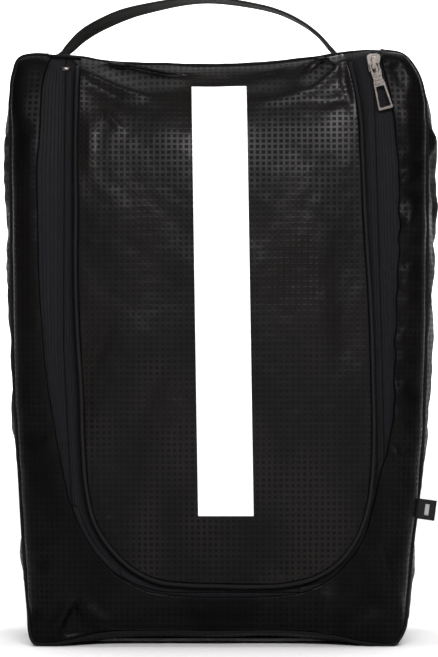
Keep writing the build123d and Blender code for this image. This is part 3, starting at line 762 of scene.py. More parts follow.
def surround_folds(X, Z):
    h = np.zeros(X.shape)
    # triangular hollow at the lower left: steep on its left, easing out to the right
    xl = interp([(0, -97.5), (4, -95.5), (16, -88), (28.5, -81.5), (34, -80.5)], Z)
    xr = interp([(0, -34), (8, -48), (13, -64), (20, -75), (28.5, -79.8), (34, -79.9)], Z)
    u = (X - xl) / (xr - xl)
    hollow = smoothstep(0, 0.16, u) * np.clip(1 - u, 0, 1) ** 1.35
    h -= 9.0 * smoothstep(31.0, 17.0, Z) * smoothstep(0.0, 12.0, Z) * hollow
    h += ridge(X, Z, [(-82.5, 33), (-86.0, 24), (-91.5, 13), (-95, 6)], 1.2, 2.8, 4.2, (0.5, 0.2))
    h += ridge(X, Z, [(-80, 31.5), (-75, 22), (-66, 15.5), (-52, 11.5)], 1.4, 3.2, 3.6, (0.35, 0.5))
    h -= ridge(X, Z, [(-50, 18), (-30, 16.5), (10, 15.5), (45, 16)], 1.0, 4.0, 4.0, (0.2, 0.3))
    h += ridge(X, Z, [(-99, 55), (-98, 35), (-95, 18)], 1.6, 6.0, 6.5, (0.4, 0.3))
    h -= ridge(X, Z, [(-103, 95), (-100, 70), (-92, 52)], 1.1, 7, 7, (0.4, 0.4))
    # lower right: a soft vertical swell and the crease beside it
    h += ridge(X, Z, [(69.5, 41), (66.0, 34), (61.5, 24), (60.5, 14), (66, 7)], 1.7, 15.0, 5.2, (0.6, 0.15))
    h -= ridge(X, Z, [(84, 33), (85, 25), (88, 15)], 1.0, 7.0, 6.5, (0.4, 0.4))
    h += ridge(X, Z, [(78, 34), (79, 26), (80, 18)], 0.5, 4.0, 4.0, (0.4, 0.4))
    h += ridge(X, Z, [(96, 62), (98, 40), (99, 22)], 1.2, 6, 6, (0.3, 0.3))
    # pulls off the right-hand edge of the zip
    for z0, x0, a, l in ((262, 102, 0.7, 9), (247, 102.5, -0.6, 13), (236, 102.5, 1.0, 8), (214, 102, -0.8, 14), (203, 101.5, 0.7, 11), (181, 100.5, -0.7, 8),
                         (172, 99, 0.9, 13), (150, 98, -0.6, 10), (139, 96.5, 0.6, 8)):
        h += ridge(X, Z, [(x0 + 0.5, z0), (x0 + 0.45 * l, z0 + 0.5 * l), (x0 + 0.8 * l, z0 + 1.3 * l)], a * 0.8, 2.8, 4.0, (0.25, 0.6))
    h += ridge(X, Z, [(103, 312), (107, 296), (109, 276)], 0.8, 5, 6, (0.3, 0.4))
    h -= ridge(X, Z, [(99, 334), (103, 324), (106, 314)], 1.2, 3.6, 4.0, (0.2, 0.5))
    h -= ridge(X, Z, [(111, 326), (113.5, 306), (113.5, 286)], 0.6, 4, 4, (0.3, 0.4))
    h += ridge(X, Z, [(110, 262), (109, 244), (106, 232)], 1.0, 3.4, 3.4, (0.4, 0.4))
    h -= ridge(X, Z, [(99.5, 117), (102.5, 114), (106, 111.5)], 0.7, 2.6, 2.6, (0.4, 0.3))
    h += ridge(X, Z, [(97, 112.5), (100, 110.5), (103.5, 107.5)], 0.7, 2.4, 2.8, (0.4, 0.3))
    # left side: soft dents
    h -= ridge(X, Z, [(-108, 128), (-103, 122), (-97, 116)], 1.1, 4, 5, (0.3, 0.4))
    h -= ridge(X, Z, [(-104, 298), (-110, 292), (-116, 284)], 1.2, 4, 6, (0.3, 0.4))
    h += ridge(X, Z, [(-103, 318), (-110, 312), (-115, 300)], 0.9, 5, 6, (0.3, 0.4))
    h = h * (1 - 0.7 * smoothstep(-90, -97, X) * smoothstep(130, 150, Z))
    calm = 1 - 0.55 * smoothstep(-85, -97, X) * smoothstep(130, 150, Z)
    h += (0.40 * waves(X, Z, 16, 24, 60, 31) + 0.09 * waves(X, Z, 14, 8, 16, 32)) * calm
    return h


SX, SZ = SUR[..., 0], SUR[..., 2]
sh = surround_folds(SX, SZ)
fade_q = np.r_[np.zeros(len(hem) - 2), 0.35, 0.6, np.ones(nq) * 1.0]
tail = 1 - smoothstep(0.86, 1.0, np.r_[np.zeros(len(hem)), qs])
front = np.r_[fade_q[:len(hem)], np.clip(0.6 + 6 * qs, 0, 1)]
end_t = smoothstep(0, 14, LS) * smoothstep(0, 14, LS[-1] - LS)
sh = sh * (front * tail)[None, :] * end_t[:, None]
gb = (B - A)
gb /= np.linalg.norm(gb, axis=1)[:, None] + 1e-9
cosn = np.r_[np.ones(len(hem)), np.cos(th) ** 0.6]
sinn = np.sqrt(np.clip(1 - cosn**2, 0, 1))
SUR[..., 1] -= sh * cosn[None, :]
side_h = np.where(sh < 0, 0.3, 1.0) * sh
SUR[..., 0] += side_h * sinn[None, :] * gb[:, :1]
SUR[..., 2] += side_h * sinn[None, :] * gb[:, 1:]
# nothing sinks behind the seam that the surround is sewn into
room = 0.9 * (1 - np.r_[np.zeros(len(hem)), qs])
SUR[..., 1] = np.minimum(SUR[..., 1], yb[:, None] - room[None, :])
dq = np.concatenate([np.zeros((nt, 1)), np.cumsum(np.linalg.norm(np.diff(SUR, axis=1), axis=2), 1)], 1)
sur_uv = np.stack([SUR[..., 0] + np.sign(SUR[..., 0]) * 0.35 * (SUR[..., 1] + 58) * smoothstep(60, 100, np.abs(SUR[..., 0])), SUR[..., 2]], -1)
SUR_T = 1.2
surround_ob = sheet_object("front_surround_cloth", SUR, sur_uv, M_RIP2, SUR_T, flip=False)

# =====================================================================================================
# zip: two tapes that meet over their coils, from the top left round to the top right
# =====================================================================================================
def fillet_line(points, step=1.2):
    out = [np.array(points[0][:2], float)]
    for i in range(1, len(points) - 1):
        p0, p1, p2 = (np.array(points[j][:2], float) for j in (i - 1, i, i + 1))
        r = points[i][2]
        a, b = (p0 - p1) / np.linalg.norm(p0 - p1), (p2 - p1) / np.linalg.norm(p2 - p1)
        half = math.acos(float(np.clip(a @ b, -1, 1))) / 2
        t = r / math.tan(half)
        s, e = p1 + a * t, p1 + b * t
        c = p1 + (a + b) / np.linalg.norm(a + b) * (r / math.sin(half))
        a0, a1 = math.atan2(*(s - c)[::-1]), math.atan2(*(e - c)[::-1])
        da = (a1 - a0 + math.pi) % (2 * math.pi) - math.pi
        n = max(3, int(abs(da) * r / step))
        for k2 in range(n + 1):
            w = a0 + da * k2 / n
            out.append(c + r * np.array([math.cos(w), math.sin(w)]))
    out.append(np.array(points[-1][:2], float))
    return np.array(out)


ZL = fillet_line(ZIP_U)
ZL = resample(ZL, 1500)
ZL = ZL[ZL[:, 1] < z_top(ZL[:, 0]) - 0.2]
ZL = resample(ZL, 640)
iA, iB = nearest(ZL, FE), nearest(ZL, A)
PA = smooth_line(FE[iA], 9, 3)
PB = smooth_line(A[iB], 9, 3)
yA = fe_depth(PA[:, 1], PA[:, 0])
yB = se_depth(PB[:, 1], PB[:, 0])
lenZ = arclen(ZL)


def along_gap(toward, depth_in, ystart):
    d = toward - ZL
    L = np.linalg.norm(d, axis=1)[:, None]
    return d / (L + 1e-9), L[:, 0]


dirA, gapA = along_gap(PA, 0, 0)
dirB, gapB = along_gap(PB, 0, 0)
right = smoothstep(60, 92, ZL[:, 0]) * smoothstep(95, 190, ZL[:, 1])
y_mid = 0.5 * (yA + yB) + 3.2 - 2.5 * right


def tape(direction, gap, y_far, extra_in, name, sign):
    """One half of the zip: from the meeting line, over the coil, to the seam below the panel's edge."""
    fr = [0.04, 0.35, 0.8, 1.4, 2.2, 3.1]
    n_far = 12
    G = np.zeros((len(ZL), len(fr) + n_far, 3))
    hump = [0.28, 0.0, -0.12, -0.12, -0.05, 0.0]
    for j, (o, h) in enumerate(zip(fr, hump)):
        G[:, j, 0] = ZL[:, 0] + direction[:, 0] * o
        G[:, j, 2] = ZL[:, 1] + direction[:, 1] * o
        t = np.clip(o / (gap + extra_in), 0, 1) ** (3.0 if sign < 0 else 1.0)
        G[:, j, 1] = y_mid + (y_far - y_mid) * t + h
    for j in range(n_far):
        w = (j + 1) / n_far
        o = 3.1 + (gap + extra_in - 3.1) * w
        t = np.clip(o / (gap + extra_in), 0, 1)
        if sign < 0:
            t = t ** 3.0                            # dives into the crease just before the flap
        G[:, len(fr) + j, 0] = ZL[:, 0] + direction[:, 0] * o
        G[:, len(fr) + j, 2] = ZL[:, 1] + direction[:, 1] * o
        G[:, len(fr) + j, 1] = y_mid + (y_far - y_mid) * t
    if sign < 0:                                    # the tape's far edge doubles back and is sewn behind the flap's edge
        far = []
        for w in (0.12, 0.3, 0.5, 0.7, 0.86, 1.0):
            o = gap + extra_in + 0.5 * math.sin(min(w * 2, 1) * math.pi / 2) + 3.4 * w**1.4
            far.append(np.stack([ZL[:, 0] + direction[:, 0] * o, y_far + (yA + 1.55 - y_far) * (0.12 * w + 0.88 * smoothstep(0.0, 1.0, w)),
                                 ZL[:, 1] + direction[:, 1] * o], 1))
        G = np.concatenate([G, np.stack(far, 1)], 1)
    G[..., 1] += 0.13 * waves(lenZ[:, None] + 0 * G[..., 0], G[..., 0] * 0.3, 10, 14, 40, 40 + sign)
    uv = np.zeros(G.shape[:2] + (2,))
    uv[..., 0] = np.r_[0, np.cumsum(np.full(G.shape[1] - 1, 1.2))][None, :] * 1.0
    uv[..., 1] = lenZ[:, None]
    # both ends of the tape turn back and are caught in the top seam
    for end in (0, -1):
        rows, us = [], []
        for w in (0.3, 0.65, 1.0):
            row, u2 = G[end].copy(), uv[end].copy()
            row[:, 1] += (np.maximum(row[:, 1], -41.6) - row[:, 1]) * w
            row[:, 2] += (z_top(row[:, 0]) + 0.1 - row[:, 2]) * w**0.5
            u2[:, 1] += (3.0 if end else -3.0) * w
            rows.append(row)
            us.append(u2)
        if end:
            G, uv = np.concatenate([G, np.stack(rows)]), np.concatenate([uv, np.stack(us)])
        else:
            G, uv = np.concatenate([np.stack(rows[::-1]), G]), np.concatenate([np.stack(us[::-1]), uv])
    return sheet_object(name, G, uv, M_TAPE, 0.55, flip=(sign < 0))


tape_flap = tape(dirA, gapA, yA + 9.5 - 3.5 * right, 0.6, "zip_tape_on_flap", -1)
tape_body = tape(dirB, gapB, yB + 2.7 - 0.4 * right, 3.0, "zip_tape_on_body", 1)


def coil(direction, name, phase):
    """Nylon coil on the back of one tape: one flat loop each 1.35 mm."""
    L = lenZ[-1]
    pos = np.arange(4 + phase, L - 4, 1.35)
    px = np.interp(pos, lenZ, ZL[:, 0])
    pz = np.interp(pos, lenZ, ZL[:, 1])
    py = np.interp(pos, lenZ, y_mid) + 1.25
    dx = np.interp(pos, lenZ, direction[:, 0])
    dz = np.interp(pos, lenZ, direction[:, 1])
    a = np.linspace(0, 2 * math.pi, 8, endpoint=False)
    V, F, U = [], [], []
    for i in range(len(pos)):
        dv = np.array([dx[i], 0, dz[i]])
        dv /= np.linalg.norm(dv)
        tv = np.array([-dv[2], 0, dv[0]])
        c = np.array([px[i], py[i], pz[i]])
        b = len(V) * 1
        for o, s in ((-0.35, 0.75), (0.0, 1.0), (1.7, 1.0), (2.25, 0.7)):
            for w in a:
                V.append(c + dv * o + s * (tv * 0.42 * math.cos(w) + np.array([0, 0.62, 0]) * math.sin(w)))
                U.append((w, o))
        for k2 in range(3):
            for m in range(8):
                p, q2 = b + k2 * 8 + m, b + k2 * 8 + (m + 1) % 8
                F.append((p, p + 8, q2 + 8, q2))
        F.append(tuple(range(b, b + 8)))
        F.append(tuple(range(b + 24, b + 32))[::-1])
    return mesh_object(name, np.array(V), F, np.array(U), M_COIL)


coil_flap = coil(dirA, "zip_coil_on_flap", 0.0)
coil_body = coil(dirB, "zip_coil_on_body", 0.675)

# =====================================================================================================
# gusset ring: sides, top and base between the front and back seams
# =====================================================================================================
loop_xz = np.vstack([B, top_line[1:-1]])           # anticlockwise from the top left, down, round and along the top
front_loop = np.column_stack([loop_xz[:, 0], np.r_[yb, np.full(len(top_line) - 2, SEAM_Y)], loop_xz[:, 1]])
NL = 720
front_loop = resample(front_loop, NL, True)
# back outline: the same bag, without the front's sags
sm = front_loop[:, [0, 2]].copy()
for _ in range(40):
    sm = (np.roll(sm, 1, 0) + 2 * sm + np.roll(sm, -1, 0)) / 4
back = sm.copy()
zt = back[:, 1]
back[:, 1] = np.where(zt > 300, 300 + (zt - 300) * 1.05, zt)
back[:, 1] = np.where(zt < 40, 3.4 + (zt - sm[:, 1].min()) * (40 - 3.4) / (40 - sm[:, 1].min()), back[:, 1])
back[:, 0] *= 0.998
back_loop = np.column_stack([back[:, 0], np.full(NL, 50.0), back[:, 1]])
tan = np.roll(sm, -1, 0) - np.roll(sm, 1, 0)
tan /= np.linalg.norm(tan, axis=1)[:, None]
nrm = np.stack([-tan[:, 1], tan[:, 0]], 1)
if nrm[np.argmax(sm[:, 0]), 0] < 0:
    nrm = -nrm                                      # out of the bag
xl, zl = front_loop[:, 0], front_loop[:, 2]
bul = np.where(xl > 0, interp([(0, 2.5), (20, 3.5), (80, 4.2), (150, 6.2), (230, 7.6), (290, 6.5), (322, 3.0), (334, 0.8), (345, 0.4)], zl),
               interp([(0, 2.5), (46, 4.6), (76, 4.5), (160, 4.2), (230, 5.6), (300, 5.0), (322, 2.4), (333, 0.6), (345, 0.3)], zl))
topness = smoothstep(0.6, 0.95, nrm[:, 1])
botness = smoothstep(-0.6, -0.95, nrm[:, 1])
bul = bul * (1 - topness) * (1 - botness) + topness * 0.6 + botness * 11.0
NVG = 64
vs = np.linspace(0, 1, NVG)
prof = (4 * vs * (1 - vs)) ** 0.75
RING = front_loop[None] * (1 - vs)[:, None, None] + back_loop[None] * vs[:, None, None]
RING = RING + (prof[:, None] * bul[None])[..., None] * np.stack([nrm[:, 0], 0 * nrm[:, 0], nrm[:, 1]], 1)[None]
sL = arclen(np.vstack([sm, sm[:1]]))[:-1]
wob = 1.0 * waves(sL[None, :] + 0 * RING[..., 0], RING[..., 1], 18, 28, 80, 51) + 0.30 * waves(sL[None, :] + 0 * RING[..., 0], RING[..., 1], 16, 9, 24, 52)
# folds that cross the sides from the seams
side_f = np.zeros(wob.shape)
for sgn in (-1, 1):
    m = (RING[..., 0] * sgn > 90)
    yy, zz = RING[..., 1], RING[..., 2]
    fld = (ridge(yy, zz, [(-38, 300), (-15, 270), (10, 232), (24, 190)], 2.2, 5, 9, (0.1, 0.5))
           - ridge(yy, zz, [(-38, 285), (-20, 258), (-2, 222)], 2.0, 5, 7, (0.1, 0.5))
           + ridge(yy, zz, [(46, 250), (28, 205), (4, 165), (-14, 120)], 1.8, 7, 9, (0.1, 0.5))
           - ridge(yy, zz, [(46, 95), (20, 78), (-12, 66), (-36, 62)], 2.0, 6, 8, (0.1, 0.3))
           + ridge(yy, zz, [(46, 60), (20, 52), (-10, 44), (-36, 30)], 1.6, 5, 7, (0.1, 0.3))
           + ridge(yy, zz, [(46, 320), (20, 312), (-10, 318)], 1.4, 5, 6, (0.1, 0.5)))
    side_f += np.where(m, fld * (1.0 if sgn > 0 else 0.85), 0)
edge_v = smoothstep(0, 0.10, vs) * smoothstep(0, 0.10, 1 - vs)
amp_r = (1 - botness)[None, :] * edge_v[:, None]
disp = (wob + side_f) * amp_r
RING = RING + disp[..., None] * np.stack([nrm[:, 0], 0 * nrm[:, 0], nrm[:, 1]], 1)[None]
# the base lies flat on whatever the bag stands on
zf = RING[..., 2]
lift = 0.25 + 0.5 * ((zf - 0.25) + np.sqrt((zf - 0.25) ** 2 + 0.8**2))
RING[..., 2] = np.where(zf < 6, lift, zf)
RING[..., 2] = np.maximum(RING[..., 2], 0.05)
dv = np.concatenate([np.zeros((1, NL)), np.cumsum(np.linalg.norm(np.diff(RING, axis=0), axis=2), 0)], 0)
ring_uv = np.stack([sL[None, :] + 0 * dv, dv], -1)
# corner positions round the loop, where the four panels are seamed together
cTL = int(np.argmin(np.hypot(sm[:, 0] + 103, sm[:, 1] - 337) + 0))
cTR = int(np.argmin(np.hypot(sm[:, 0] - 100, sm[:, 1] - 338)))
cBL = int(np.argmin(np.hypot(sm[:, 0] + 95, sm[:, 1] - 5)))
cBR = int(np.argmin(np.hypot(sm[:, 0] - 93, sm[:, 1] - 5)))


def ring_part(name, i0, i1):
    n = (i1 - i0) % NL
    idx = (i0 + np.arange(n + 1)) % NL
    G = RING[:, idx].copy()
    uv = ring_uv[:, idx].copy()
    uv[..., 0] = (i0 * sL[1] + np.arange(n + 1) * sL[1])[None, :]
    # the panel's ends dip into the seam
    e = np.minimum(np.arange(n + 1), n - np.arange(n + 1)) * sL[1]
    dip = 0.7 * np.exp(-(e / 1.3) ** 2)
    G[..., 0] -= (dip * nrm[idx, 0])[None, :]
    G[..., 2] -= (dip * np.clip(nrm[idx, 1], 0, 1))[None, :]
    return sheet_object(name, G, np.stack([uv[..., 1], uv[..., 0]], -1), M_SIDE, 1.2, flip=True)


side_l = ring_part("side_left_cloth", cTL, cBL)
base_p = ring_part("base_cloth", cBL, cBR)
side_r = ring_part("side_right_cloth", cBR, cTR)
top_p = ring_part("top_cloth", cTR, cTL)

# =====================================================================================================
# back panel
# =====================================================================================================
idx_tl = int(np.argmin(np.hypot(back[:, 0] + 112, back[:, 1] - 334)))
idx_bl = int(np.argmin(np.hypot(back[:, 0] + 104, back[:, 1] - 7)))
idx_br = int(np.argmin(np.hypot(back[:, 0] - 104, back[:, 1] - 7)))
idx_tr = int(np.argmin(np.hypot(back[:, 0] - 110, back[:, 1] - 334)))


def loop_part(loop, i0, i1):
    n = (i1 - i0) % NL
    return loop[(i0 + np.arange(n + 1)) % NL]


bt = loop_part(back, idx_tr, idx_tl)[::-1]
bb = loop_part(back, idx_bl, idx_br)
blf = loop_part(back, idx_tl, idx_bl)
brt = loop_part(back, idx_br, idx_tr)[::-1]
BXZ = coons(bt, bb, blf, brt, 130, 180)
BX, BZ = BXZ[..., 0], BXZ[..., 1]
dB = dist_to(BX, BZ, np.vstack([back, back[:1]]))
rise = 7.2 * np.sqrt(np.clip(1 - (1 - np.clip(dB / 13.0, 0, 1)) ** 2, 0, 1)) + 3.2 * smoothstep(8, 110, dB)
bf = (ridge(BX, BZ, [(-100, 320), (-70, 300), (-30, 285), (10, 282)], 1.8, 6, 10, (0.1, 0.5))
      + ridge(BX, BZ, [(102, 322), (76, 306), (46, 296)], 1.8, 5, 8, (0.1, 0.5))
      - ridge(BX, BZ, [(-104, 300), (-80, 282), (-50, 270)], 1.3, 6, 7, (0.1, 0.5))
      + ridge(BX, BZ, [(-98, 20), (-80, 42), (-66, 72)], 1.6, 5, 8, (0.1, 0.5))
      + ridge(BX, BZ, [(98, 22), (78, 50), (70, 86)], 1.6, 6, 8, (0.1, 0.5))
      - ridge(BX, BZ, [(-20, 12), (-24, 40), (-18, 66)], 1.2, 7, 7, (0.1, 0.5))
      + 1.0 * waves(BX, BZ, 16, 40, 120, 61) + 0.22 * waves(BX, BZ, 16, 10, 26, 62))
BK = np.stack([BX, 50 + rise + bf * smoothstep(0, 12, dB), BZ], -1)
back_ob = sheet_object("back_cloth", BK, np.stack([BX, BZ], -1), M_RIP2, 1.2, flip=False)

# =====================================================================================================
# piping in the seams, and the bound seam allowances inside
# =====================================================================================================
fp = front_loop.copy()
nn = np.stack([nrm[:, 0], 0 * nrm[:, 0], nrm[:, 1]], 1)
fp = fp + nn * 0.75
fp[:, 1] -= 0.25
fp[:, 2] = np.maximum(fp[:, 2], 1.6)
# along the top of the flap the seam is the flap's own fold, so the corded piping runs from one top corner down and round to the other
on_top = (zl > 330) & (xl > -92) & (xl < 88)
keep = np.where(~on_top)[0]
start = int(np.argmin(np.abs(front_loop[:, 0] + 97) + np.abs(front_loop[:, 2] - 337)))
run_len = (int(np.argmin(np.abs(front_loop[:, 0] - 92) + np.abs(front_loop[:, 2] - 340))) - start) % NL
run = fp[(start + np.arange(run_len + 1)) % NL]
M_CORD = cloth_plain("seam_cord", (0.001, 0.001, 0.001), (0.005, 0.0048, 0.0048), 0.72, 0.0006, 0.00008, 0.10)
piping_f = tube_object("front_seam_cord", run, 1.1, M_CORD, 10, wobble=0.04, seed=5)
bp = back_loop + nn * 0.9
bp[:, 1] += 0.2
bp[:, 2] = np.maximum(bp[:, 2], 1.6)
piping_b = tube_object("back_seam_cord", bp, 1.35, M_CORD, 10, closed=True, wobble=0.04, seed=6)
top_run = fp[(start + run_len + np.arange(NL - run_len + 1)) % NL].copy()
top_run = top_run + np.array([0, 0.3, -0.55])
hinge_ob = tube_object("top_seam_cord", top_run, 1.0, M_CORD, 10, wobble=0.14, seed=7)


def binding(name, loop, y_shift):
    """Seam allowance of the loop, turned inward and bound: 8 mm deep."""
    inn = -nn
    G = np.zeros((5, NL, 3))
    for i, (o, dy) in enumerate(((1.6, -0.7), (8.2, -0.7), (8.9, 0.0), (8.2, 0.7), (1.6, 0.7))):
        wv = 0.5 * waves(sL, sL * 0, 10, 14, 40, 71) * (o / 9)
        G[i] = loop + inn * o
        G[i, :, 1] += dy + y_shift + wv
        G[i, :, 2] = np.maximum(G[i, :, 2], 3.6)
    G = np.concatenate([G, G[:, :1]], 1)
    uv = np.stack([np.r_[sL, sL[-1] + sL[1]][None, :] + 0 * G[..., 0], np.array([0, 7, 8, 9, 16])[:, None] + 0 * G[..., 0]], -1)
    ob = sheet_object(name, G, np.stack([uv[..., 1], uv[..., 0]], -1), M_BINDING, 0.35, flip=False)
    return ob


bind_f = binding("front_seam_bound_edge", front_loop, 1.2)
bind_b = binding("back_seam_bound_edge", back_loop, -1.2)

# =====================================================================================================
# carry handle: one length of webbing, flat on the top panel at both ends
# =====================================================================================================
HANDLE = [(-101.0, 341.1, 0), (-95.5, 341.3, 0), (-92.2, 342.6, -3), (-88.6, 346.2, -8), (-81.6, 353.2, -12), (-63.9, 363.6, -13),
          (-37.0, 371.6, -8), (-10.5, 375.2, -3), (16.3, 372.8, -1), (43.0, 365.0, 1), (59.5, 353.6, 2), (66.6, 345.6, 1), (69.6, 342.4, 0),
          (73.4, 341.3, 0), (80, 341.1, 0), (89.5, 341.1, 0)]
hp = catmull(HANDLE, 24)
hp = resample(hp[:, :3], 330)
hx, hz, roll = hp[:, 0], hp[:, 1], np.radians(hp[:, 2])
Th = np.stack([np.gradient(hx), 0 * hx, np.gradient(hz)], 1)
Th /= np.linalg.norm(Th, axis=1)[:, None]
Nh = np.stack([-Th[:, 2], 0 * hx, Th[:, 0]], 1)
Wd = np.cos(roll)[:, None] * np.array([0, 1.0, 0]) + np.sin(roll)[:, None] * Nh
Nd = np.cross(Wd, Th)
Nd = Nd * np.sign((Nd * Nh).sum(1))[:, None]
W2, T2h = 10.0, 0.85
sec = []
for s in np.linspace(-1, 1, 15):
    sec.append((s * (W2 - 0.5), T2h * (1.0 - 0.10 * math.cos(s * math.pi * 5)) - 0.25 * abs(s) ** 6))
cap = [(W2 - 0.1, 0.45), (W2, 0.0), (W2 - 0.1, -0.45)]
lowr = [(s * (W2 - 0.5), -(T2h * (1.0 - 0.10 * math.cos(s * math.pi * 5)) - 0.25 * abs(s) ** 6)) for s in np.linspace(1, -1, 15)]
sec = sec + cap + lowr + [(-W2 + 0.1, -0.45), (-W2, 0.0), (-W2 + 0.1, 0.45)]
sec = np.array(sec)
P0 = np.stack([hx, np.full(len(hx), 2.0), hz], 1)
Lh = arclen(P0)
cup = 0.5 * smoothstep(0, 30, Lh) * smoothstep(0, 30, Lh[-1] - Lh)
HG = np.zeros((len(hx), len(sec), 3))
for j, (w, t) in enumerate(sec):
    HG[:, j] = P0 + Wd * w + Nd * (t - cup * (w / W2) ** 2)[:, None]
HG += 0.10 * waves(Lh[:, None] + 0 * HG[..., 0], HG[..., 1], 8, 18, 50, 81)[..., None] * Nd[:, None]
hs = np.r_[0, np.cumsum(np.linalg.norm(np.diff(np.vstack([sec, sec[:1]]), axis=0), axis=1))][:-1]
HUV = np.stack(np.broadcast_arrays(hs[None, :], Lh[:, None]), -1)
faces = grid_faces(len(hx), len(sec), True, True)
faces += [list(range(len(sec))), [(len(hx) - 1) * len(sec) + j for j in range(len(sec))][::-1]]
handle_ob = mesh_object("carry_handle_webbing", HG.reshape(-1, 3), faces, HUV.reshape(-1, 2), M_WEB)


def stitches(name, runs, r=0.22, length=2.2, gap=0.8, mat=None, lift=0.12):
    """Rows of thread stitches along runs of (points, normal)."""
    V, F, U = [], [], []
    for pts, nv in runs:
        Q = np.asarray(pts, float)
        L = arclen(Q)
        nv = np.asarray(nv, float)
        s = 0.4
        while s + length < L[-1]:
            b = len(V)
            for k2 in range(6):
                u = s + length * k2 / 5
                c = np.array([np.interp(u, L, Q[:, c2]) for c2 in range(3)])
                tv = np.array([np.interp(min(u + 0.1, L[-1]), L, Q[:, c2]) for c2 in range(3)]) - c
                tv /= np.linalg.norm(tv) + 1e-9
                sv = np.cross(tv, nv)
                sv /= np.linalg.norm(sv) + 1e-9
                arch = lift * math.sin(math.pi * k2 / 5) - 0.10
                rr = r * (0.55 if k2 in (0, 5) else 1.0)
                for m in range(6):
                    w = 2 * math.pi * m / 6
                    V.append(c + nv * (arch + rr * math.sin(w)) + sv * rr * math.cos(w))
                    U.append((w * r, u))
            for k2 in range(5):
                for m in range(6):
                    p, q2 = b + k2 * 6 + m, b + k2 * 6 + (m + 1) % 6
                    F.append((p, p + 6, q2 + 6, q2))
            F.append(tuple(range(b, b + 6)))
            F.append(tuple(range(b + 30, b + 36))[::-1])
            s += length + gap
    return mesh_object(name, np.array(V), F, np.array(U), mat or M_THREAD)


def box_stitch(x0, x1, y0, y1, z):
    c = [(x0, y0, z), (x1, y0, z), (x1, y1, z), (x0, y1, z), (x0, y0, z)]
    runs = [([c[i], c[i + 1]], (0, 0, 1)) for i in range(4)]
    runs += [([c[0], c[2]], (0, 0, 1)), ([c[1], c[3]], (0, 0, 1))]
    return runs


st_l = stitches("handle_stitches_left", box_stitch(-100.2, -95.0, -6.5, 10.5, 342.05), mat=M_THREAD)
st_r = stitches("handle_stitches_right", box_stitch(74.5, 88.3, -6.5, 10.5, 341.95), mat=M_THREAD)

# =====================================================================================================
# side label: a folded woven tag in the right-hand seam, with a plain bar
# =====================================================================================================
lx0, lz0 = 113.6, 78.2
tilt = math.radians(-8)
nw, nh2 = 16, 14
LG = np.zeros((nh2, 2 * nw, 3))
for i in range(nh2):
    for j in range(2 * nw):
        s = j / (2 * nw - 1) * 2 - 1                    # front sheet, round the fold, back sheet
        u = 1 - abs(s) ** 1.0
        w = (i / (nh2 - 1) - 0.5) * 11.6
        x = u * 11.0
        y = math.copysign(0.55 * math.sqrt(max(1 - u**6, 0)), s) if u > 0 else math.copysign(0.55, s)
        y += -0.9 * (u**2) + 0.25 * math.sin(w * 0.35) * u
        LG[i, j] = (lx0 + x * math.cos(tilt) - w * math.sin(tilt), -42.6 + y, lz0 + w * math.cos(tilt) + x * math.sin(tilt))
luv = np.stack(np.broadcast_arrays(np.linspace(0, 22, 2 * nw)[None, :], np.linspace(0, 11.6, nh2)[:, None]), -1)
label_ob = sheet_object("side_label_tag", LG, luv, M_LABEL, 0.3, flip=False)
MG = np.zeros((8, 8, 3))
for i in range(8):
    for j in range(8):
        u = 0.40 + 0.22 * j / 7
        w = (i / 7 - 0.5) * 6.4
        x = u * 11.0
        y = -0.55 * math.sqrt(1 - u**6) - 0.9 * u**2 + 0.25 * math.sin(w * 0.35) * u
        MG[i, j] = (lx0 + x * math.cos(tilt) - w * math.sin(tilt), -42.6 + y - 0.12, lz0 + w * math.cos(tilt) + x * math.sin(tilt))
muv = np.stack(np.broadcast_arrays(np.linspace(0, 4.4, 8)[None, :], np.linspace(0, 6, 8)[:, None]), -1)
mark_ob = sheet_object("side_label_bar", MG, muv, M_MARK, 0.12, flip=False)


# =====================================================================================================
# metal: end stops at the zip's two ends and the pull; the slider and its bridge are the CAD's own shapes
# =====================================================================================================
def crimp(name, i):
    """A small folded metal staple round both tapes."""
    c = np.array([ZL[i, 0], y_mid[i] - 0.55, ZL[i, 1]])
    t = np.array([ZL[i + 1, 0] - ZL[i, 0], 0, ZL[i + 1, 1] - ZL[i, 1]])
    t /= np.linalg.norm(t)
    s = np.array([t[2], 0, -t[0]])
    o = np.array([0, -1.0, 0])
    prof2 = [(-2.6, 0.9), (-2.75, 0.4), (-2.5, -0.1), (-1.9, -0.55), (0, -0.68), (1.9, -0.55), (2.5, -0.1), (2.75, 0.4), (2.6, 0.9)]
    G = np.zeros((5, len(prof2), 3))
    for a2, tt in enumerate((-0.9, -0.7, 0.0, 0.7, 0.9)):
        sc = 0.9 if a2 in (0, 4) else 1.0
        for b2, (x, y) in enumerate(prof2):
            G[a2, b2] = c + t * tt + s * x * sc + o * (-y * sc)
    uv = np.stack(np.broadcast_arrays(np.linspace(0, 6, len(prof2))[None, :], np.linspace(0, 2, 5)[:, None]), -1)
    ob = sheet_object(name, G, uv, M_METAL, 0.45, flip=False)
    return ob


stop_l = crimp("zip_stop_left", 6)
stop_r = crimp("zip_stop_right", len(ZL) - 6)

for nm in ("zip_slider", "zip_slider_bridge"):
    ob = NODES[nm]
    ob.data.materials.clear()
    ob.data.materials.append(M_METAL)
    bv = ob.modifiers.new("soft_edges", "BEVEL")
    bv.width = 0.00018
    bv.segments = 2
    bv.limit_method = "ANGLE"
    bv.angle_limit = math.radians(35)


